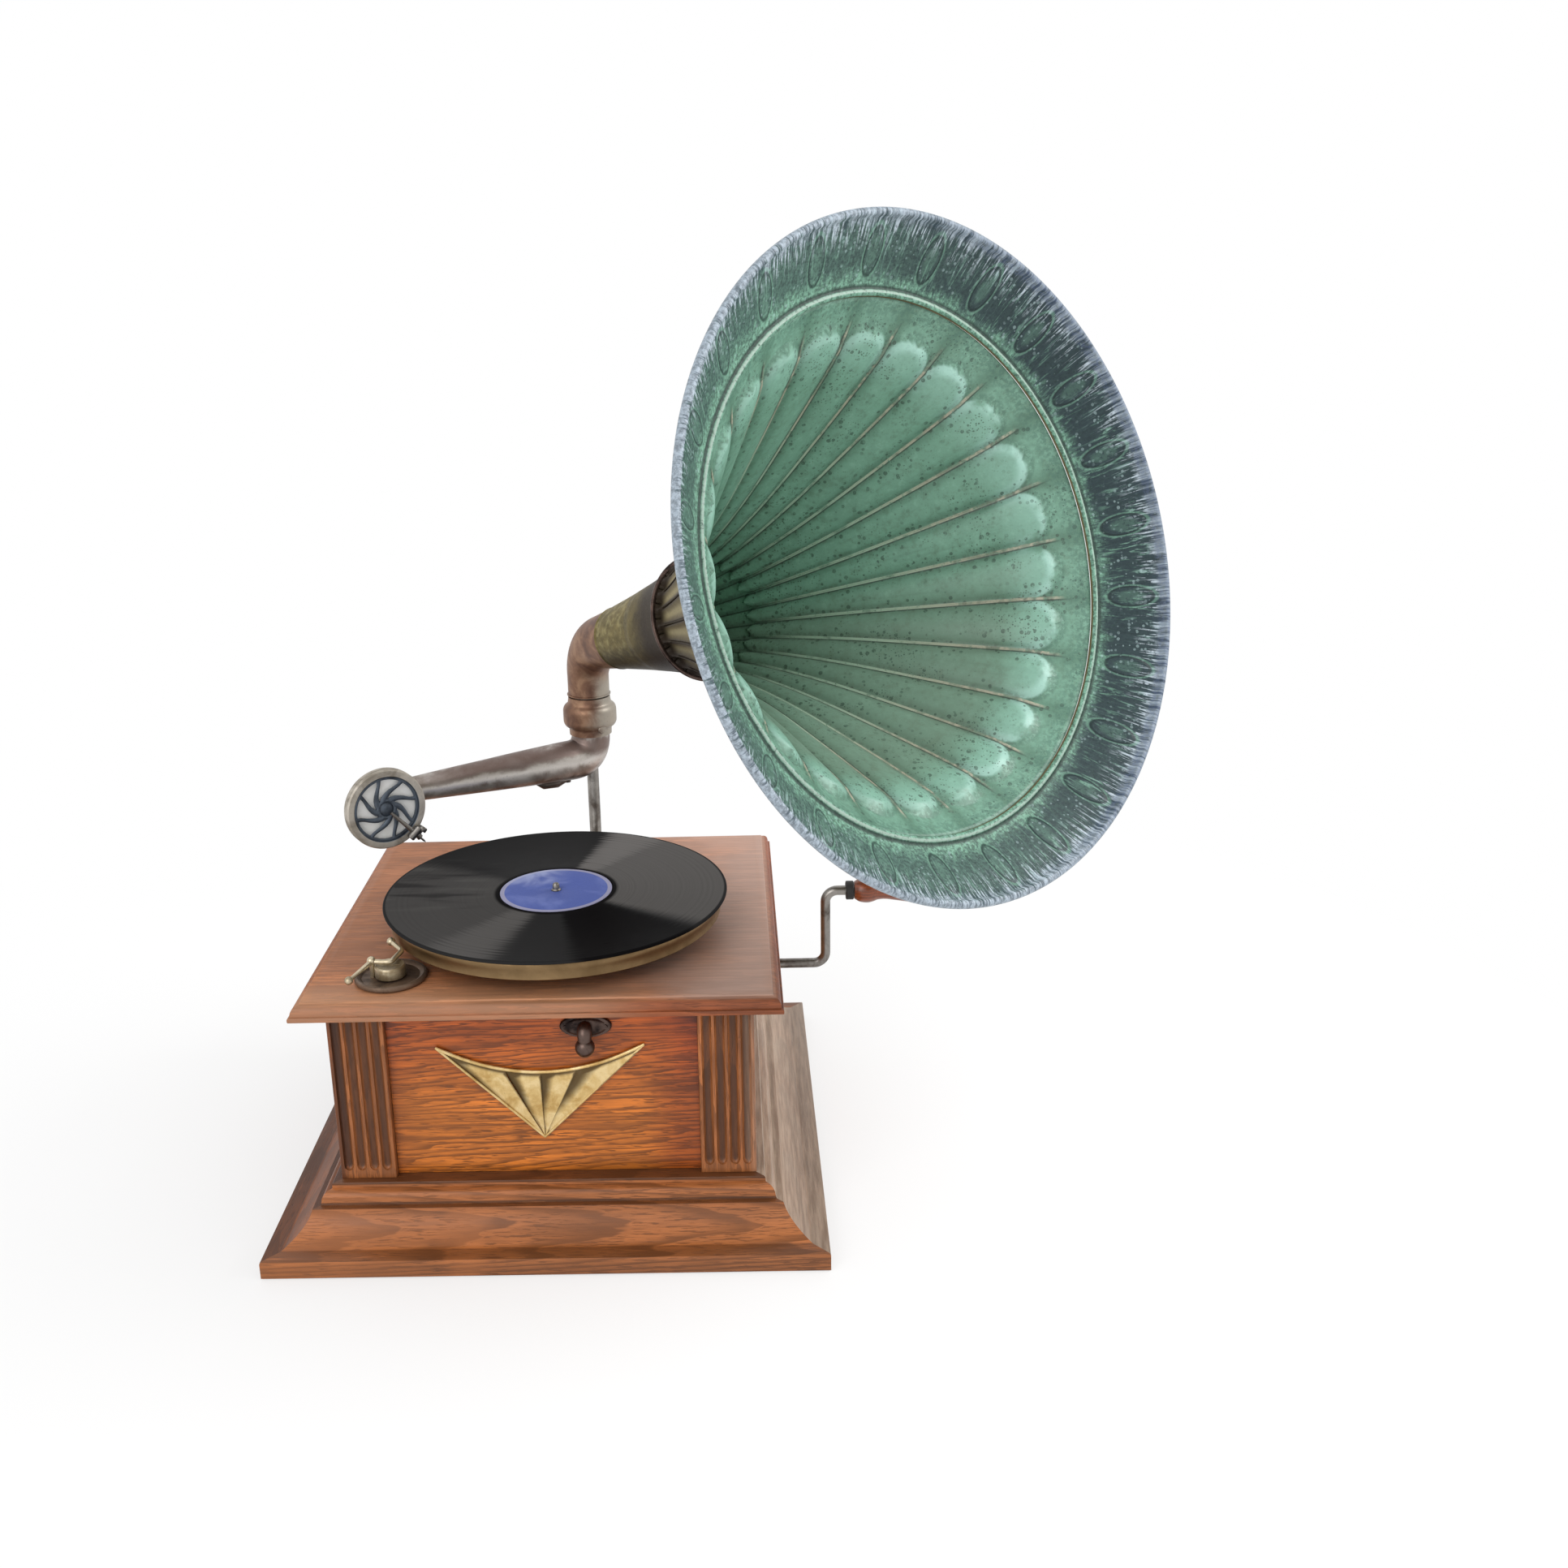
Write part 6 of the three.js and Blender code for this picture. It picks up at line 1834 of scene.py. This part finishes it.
def flare_finish(settings):
    """Green next to the bead, a dark band brushed outwards with pressed ovals, and a pale rim."""
    f = Finish("flare_brushed", roughness=0.45, specular=0.2)
    rib, radius = f.attribute("rib_mm"), f.attribute("radius_mm")
    sweep = f.attribute("sweep", "Vector")
    space = f.object_space()
    cloud = f.noise(space, 0.02, 3.0, 0.6, 0.5)
    fine = f.noise(space, 0.42, 4.0, 0.7)
    strokes = f.noise(f.stretched(sweep, (64, 64, 6)), 1.0, 4.0, 0.7, 0.6)
    broad = f.noise(f.stretched(sweep, (10, 10, 5)), 1.0, 3.0, 0.6)
    way = f.parts(sweep)
    crank_side = f.mask(way[0], -0.5, 0.8)

    # Three colours that run into each other along the strokes
    green = f.mix(
        f.mask(fine, 0.36, 0.64), shade(settings.green, 0.40), shade(settings.green, 1.15),
    )
    slate = f.mix(strokes, shade(settings.slate, 0.35), shade(settings.slate, 1.6))
    mottle = speckles(f, space, 0.55, 0.5, 0.5)
    slate = f.lay(
        slate, shade(settings.green, 0.7), f.mask(strokes, 0.54, 0.66), f.mask(broad, 0.42, 0.62),
        0.6,
    )
    rim = f.mix(f.mask(fine, 0.36, 0.64), shade(settings.rim, 0.66), shade(settings.rim, 1.3))
    wander = f.plus(f.times(strokes, 26), f.times(broad, 16))
    at = f.plus(radius, f.plus(wander, f.times(crank_side, 5)))
    body = f.mix(
        f.times(f.mask(at, 196, 207), f.plus(f.times(crank_side, 0.3), 0.66)), green, slate,
    )
    streak = f.times(
        f.mask(strokes, 0.55, 0.64), f.mask(radius, 172, 180), f.mask(cloud, 0.42, 0.6),
    )
    body = f.lay(body, shade(settings.green, 0.8), streak, 0.6)
    body = f.lay(body, "20302f", mottle, f.mask(broad, 0.3, 0.6), 0.45)
    pale = f.times(speckles(f, space, 0.4, 0.5, 0.3), f.mask(broad, 0.60, 0.40))
    body = f.lay(body, "a7bfc0", pale, 0.35)
    combed = f.noise(f.stretched(sweep, (130, 130, 7)), 1.0, 3.0, 0.6)
    edge_at = f.plus(radius, f.plus(f.times(strokes, 20), f.times(combed, 26)))
    body = f.lay(body, rim, f.mask(edge_at, 225, 232))

    # Pale and dark flecks across the borders, and scratches
    fleck = f.times(
        f.mask(combed, 0.54, 0.61), f.mask(radius, 190, 203), f.mask(radius, 211, 207),
        f.mask(fine, 0.36, 0.50),
    )
    body = f.lay(body, "c2ced8", fleck, 0.6)
    dark_fleck = f.times(
        f.mask(combed, 0.47, 0.40), f.mask(radius, 198, 205), f.mask(radius, 213, 210),
    )
    body = f.lay(body, "36434f", dark_fleck, 0.6)
    dusk = f.times(
        f.mask(radius, 204, 206.5), f.mask(radius, 212.2, 209.8), f.mask(way[0], -0.1, 0.7),
    )
    body = f.lay(body, "4b5773", dusk, f.mask(fine, 0.36, 0.60), 0.6)
    scratch = f.times(f.mask(strokes, 0.60, 0.68), f.mask(radius, 184, 202))
    body = f.lay(body, "a9bac2", scratch, 0.5)

    # The ovals and the bead
    across = f.times(rib, 1 / OVAL_WIDTH)
    outward = f.times(f.less(radius, OVALS_AT), 1 / OVAL_LENGTH)
    oval = f.distance(across, outward)
    line = f.times(f.mask(oval, 0.80, 0.90), f.mask(oval, 1.04, 0.94))
    ridge = f.times(f.mask(oval, 0.96, 1.04), f.mask(oval, 1.20, 1.10))
    seen = f.mask(fine, 0.28, 0.50)
    body = f.lay(body, "1d2a2a", line, seen, 0.62)
    body = f.lay(body, shade(settings.green, 0.95), ridge, seen, 0.42)
    body = f.lay(body, shade(settings.green, 0.8), f.mask(oval, 0.7, 0.45), seen, 0.22)
    bead_dark = f.times(f.mask(radius, 171.6, 172.4), f.mask(radius, 175.6, 173.6))
    body = f.lay(body, "1e2e29", bead_dark, 0.85)
    bead_pale = f.times(
        f.mask(radius, 169.6, 170.2), f.mask(radius, 172.0, 171.2), f.mask(fine, 0.30, 0.46),
    )
    body = f.lay(body, "a9bdb1", bead_pale, 0.75)

    f.paint(body)
    f.dull(f.ranged(strokes, 0.24, 0.6))
    f.relief(f.mask(oval, 1.05, 0.82), 0.9, 0.7)
    f.relief(strokes, 0.3, 0.4)
    f.relief(fine, 0.15, 0.4)
    return f.material


class GRAMOPHONE_OT_horn_flare(Operator):
    """Flare with the bead at its root and the rolled rim"""

    bl_idname = "gramophone.horn_flare"
    bl_label = "Horn Flare"

    def execute(self, context):
        settings = context.scene.gramophone_horn
        front = [
            (168.3, 377.0), (168.2, 378.8), (168.9, 380.0), (170.2, 380.5), (171.6, 380.1),
            (172.6, 379.6),
            (174, 380), (177, 381.9), (180.5, 384.6), (184, 387.6), (187.5, 390.6), (191, 393.6),
            (194.5, 396.5), (198, 399.4), (201.5, 402.2), (204.6, 404.8), (206.6, 406.8),
        ]
        curl = []
        for i in range(13):
            turn = math.radians(150 - 250 * i / 12)
            curl.append((209.6 + 2.7 * math.cos(turn), 408.2 + 2.7 * math.sin(turn)))
        behind = [
            (205.6, 404.2), (199, 398.9), (192, 393.1), (185, 387.1), (178, 381.2), (174.6, 378.8),
            (172.4, 378.2), (170.6, 378.6), (169.6, 378.2), (169.4, 377.0),
        ]
        bm = turned(front + curl + behind, settings.petals * 18, closed=True)
        bmesh.ops.recalc_face_normals(bm, faces=bm.faces)
        for face in bm.faces:
            normal = face.normal
            middle = face.calc_center_median() / MM
            facing_back = normal.z < -0.05 and math.hypot(middle.x, middle.y) < 207
            face.material_index = 1 if facing_back else 0
        shift_all(bm, HORN_PLACE)
        piece = finish_piece(
            "horn_flare_rolled", bm, "horn", [flare_finish(settings), horn_outside(settings)],
            ["horn_flare"], 50,
        )
        mark_horn(piece, settings.petals)
        return {"FINISHED"}


# CAD nodes that keep their own shape


class GRAMOPHONE_OT_dress_frame(Operator):
    """Gives the nodes that keep their own shape their finishes"""

    bl_idname = "gramophone.dress_frame"
    bl_label = "Dress Frame"

    finishes = {
        "bottom_board": "inner_board", "front_panel": "panel_oak_x", "back_panel": "panel_oak_x",
        "left_panel": "panel_oak_y", "right_panel": "panel_oak_y", "motor_top_plate": "plain_steel",
        "motor_bottom_plate": "plain_steel", "motor_pillar_1": "plain_steel",
        "motor_pillar_2": "plain_steel", "motor_pillar_3": "plain_steel",
        "horn_socket": "worn_nickel", "worm_wheel": "aged_brass", "barrel_drum": "aged_brass",
        "barrel_cover": "plain_steel", "mainspring": "blued_steel", "barrel_arbor": "plain_steel",
        "winding_gear": "plain_steel", "train_arbor": "plain_steel", "train_wheel": "aged_brass",
        "governor_worm": "plain_steel", "governor_weights": "aged_brass",
        "governor_disc": "aged_brass", "winding_pinion": "plain_steel",
    }

    def execute(self, context):
        for node, finish in self.finishes.items():
            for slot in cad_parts[node].material_slots:
                slot.material = finish_named(finish)
        return {"FINISHED"}


# Stage


# Width of the camera's film in millimetres, and the picture's shift on it
FILM_WIDTH = 36
FILM_SHIFT = (0.0516, -0.0239)
# Places and sizes of the two soft lamps and the point they light, in metres
KEY_SPOT, KEY_SIZE = (2.0, -0.2, 1.7), 1.3
FILL_SPOT, FILL_SIZE = (-1.1, -2.0, 1.5), 1.6
LIT_POINT = (0.1, 0, 0.35)


class GRAMOPHONE_OT_stage(Operator):
    """Camera, pale floor and soft lights"""

    bl_idname = "gramophone.stage"
    bl_label = "Stage"

    def camera(self, context, settings):
        data = bpy.data.cameras.new("view")
        camera = bpy.data.objects.new("view", data)
        context.scene.collection.objects.link(camera)
        yaw, pitch, roll = settings.yaw, settings.pitch, settings.roll
        ahead = Vector(
            (math.sin(yaw) * math.cos(pitch), math.cos(yaw) * math.cos(pitch), -math.sin(pitch))
        )
        right = Vector((math.cos(yaw), -math.sin(yaw), 0))
        up = right.cross(ahead)
        turned_right = right * math.cos(roll) + up * math.sin(roll)
        turned_up = up * math.cos(roll) - right * math.sin(roll)
        camera.matrix_world = place(turned_right, turned_up, -ahead, Vector(settings.camera) / MM)
        data.sensor_width = FILM_WIDTH
        data.lens = settings.lens
        data.shift_x, data.shift_y = FILM_SHIFT
        data.clip_end = 50
        context.scene.camera = camera

    def lamp(self, context, name, spot, size, power):
        data = bpy.data.lights.new(name, "AREA")
        data.size, data.energy = size, power
        lamp = bpy.data.objects.new(name, data)
        lamp.location = spot
        lamp.rotation_mode = "QUATERNION"
        lamp.rotation_quaternion = (Vector(LIT_POINT) - Vector(spot)).to_track_quat("-Z", "Y")
        context.scene.collection.objects.link(lamp)

    def floor(self, context):
        bm = bmesh.new()
        bmesh.ops.create_grid(bm, x_segments=1, y_segments=1, size=12)
        bmesh.ops.translate(bm, vec=(0, 0, -0.4 * MM), verts=bm.verts)
        mesh = bpy.data.meshes.new("floor")
        bm.to_mesh(mesh)
        bm.free()
        floor = bpy.data.objects.new("floor", mesh)
        context.scene.collection.objects.link(floor)
        f = Finish("floor_white", roughness=0.9, specular=0.0)
        f.feed(f.shader.inputs["Base Color"], opaque((0.86, 0.86, 0.86)))
        glow = f.node("Emission", {"Color": (1, 1, 1, 1), "Strength": 1.0})
        path = f.node("LightPath").outputs
        seen = f.larger(
            path["Is Camera Ray"], f.larger(path["Is Glossy Ray"], path["Is Transmission Ray"]),
        )
        spot = f.node("TexCoord").outputs["Object"]
        away = f.node("VectorMath", {0: spot}, operation="LENGTH").outputs["Value"]
        share = f.ranged(away, 0.55, 1.0, 0.2, 0.9)
        both = f.node(
            "MixShader", {0: f.times(share, seen), 1: f.shader.outputs[0], 2: glow.outputs[0]},
        )
        f.tree.links.new(both.outputs[0], f.tree.nodes["Material Output"].inputs["Surface"])
        mesh.materials.append(f.material)

    def world(self, context, settings):
        world = bpy.data.worlds.new("studio")
        world.use_nodes = True
        tree = world.node_tree
        background = tree.nodes["Background"]
        background.inputs["Color"].default_value = (1, 1, 1, 1)
        path = tree.nodes.new("ShaderNodeLightPath").outputs
        seen = path["Is Camera Ray"]
        for ray in ("Is Glossy Ray", "Is Transmission Ray"):
            larger = tree.nodes.new("ShaderNodeMath")
            larger.operation = "MAXIMUM"
            tree.links.new(seen, larger.inputs[0])
            tree.links.new(path[ray], larger.inputs[1])
            seen = larger.outputs[0]
        level = tree.nodes.new("ShaderNodeMapRange")
        level.inputs["To Min"].default_value = settings.ambient
        level.inputs["To Max"].default_value = 1.0
        tree.links.new(seen, level.inputs["Value"])
        tree.links.new(level.outputs[0], background.inputs["Strength"])
        context.scene.world = world

    def execute(self, context):
        settings = context.scene.gramophone_stage
        context.scene.view_settings.view_transform = "Standard"
        self.camera(context, settings)
        self.floor(context)
        self.world(context, settings)
        self.lamp(context, "key", KEY_SPOT, KEY_SIZE, settings.key_power)
        self.lamp(context, "fill", FILL_SPOT, FILL_SIZE, settings.fill_power)
        return {"FINISHED"}


class GRAMOPHONE_PT_panel(Panel):
    bl_idname = "GRAMOPHONE_PT_panel"
    bl_label = "Gramophone"
    bl_space_type = "VIEW_3D"
    bl_region_type = "UI"
    bl_category = "Gramophone"

    def draw(self, context):
        layout = self.layout
        for name, title, group in SETTINGS:
            box = layout.box()
            box.label(text=title)
            for setting in group.__annotations__:
                box.prop(getattr(context.scene, name), setting)
        for operator in PIECES:
            layout.operator(operator.bl_idname)


PIECES = (
    GRAMOPHONE_OT_stage,
    GRAMOPHONE_OT_dress_frame,
    GRAMOPHONE_OT_base,
    GRAMOPHONE_OT_posts,
    GRAMOPHONE_OT_deck,
    GRAMOPHONE_OT_fan,
    GRAMOPHONE_OT_catch,
    GRAMOPHONE_OT_hinges,
    GRAMOPHONE_OT_controls,
    GRAMOPHONE_OT_turntable,
    GRAMOPHONE_OT_record,
    GRAMOPHONE_OT_crank,
    GRAMOPHONE_OT_support,
    GRAMOPHONE_OT_collar,
    GRAMOPHONE_OT_tone_arm,
    GRAMOPHONE_OT_sound_box,
    GRAMOPHONE_OT_horn_elbow,
    GRAMOPHONE_OT_horn_neck,
    GRAMOPHONE_OT_horn_bell,
    GRAMOPHONE_OT_horn_flare,
)
SETTINGS = (
    ("gramophone_case", "Case", CaseSettings),
    ("gramophone_horn", "Horn", HornSettings),
    ("gramophone_record", "Record", RecordSettings),
    ("gramophone_stage", "Stage", StageSettings),
)
CLASSES = (*(group for _, _, group in SETTINGS), *PIECES, GRAMOPHONE_PT_panel)


def register():
    for cls in CLASSES:
        bpy.utils.register_class(cls)
    for name, _, group in SETTINGS:
        setattr(bpy.types.Scene, name, PointerProperty(type=group))


def unregister():
    for name, _, _ in SETTINGS:
        delattr(bpy.types.Scene, name)
    for cls in reversed(CLASSES):
        bpy.utils.unregister_class(cls)


def main():
    """Makes every piece in order."""
    register()
    for operator in PIECES:
        group, name = operator.bl_idname.split(".")
        getattr(getattr(bpy.ops, group), name)()


if __name__ == "__main__":
    main()
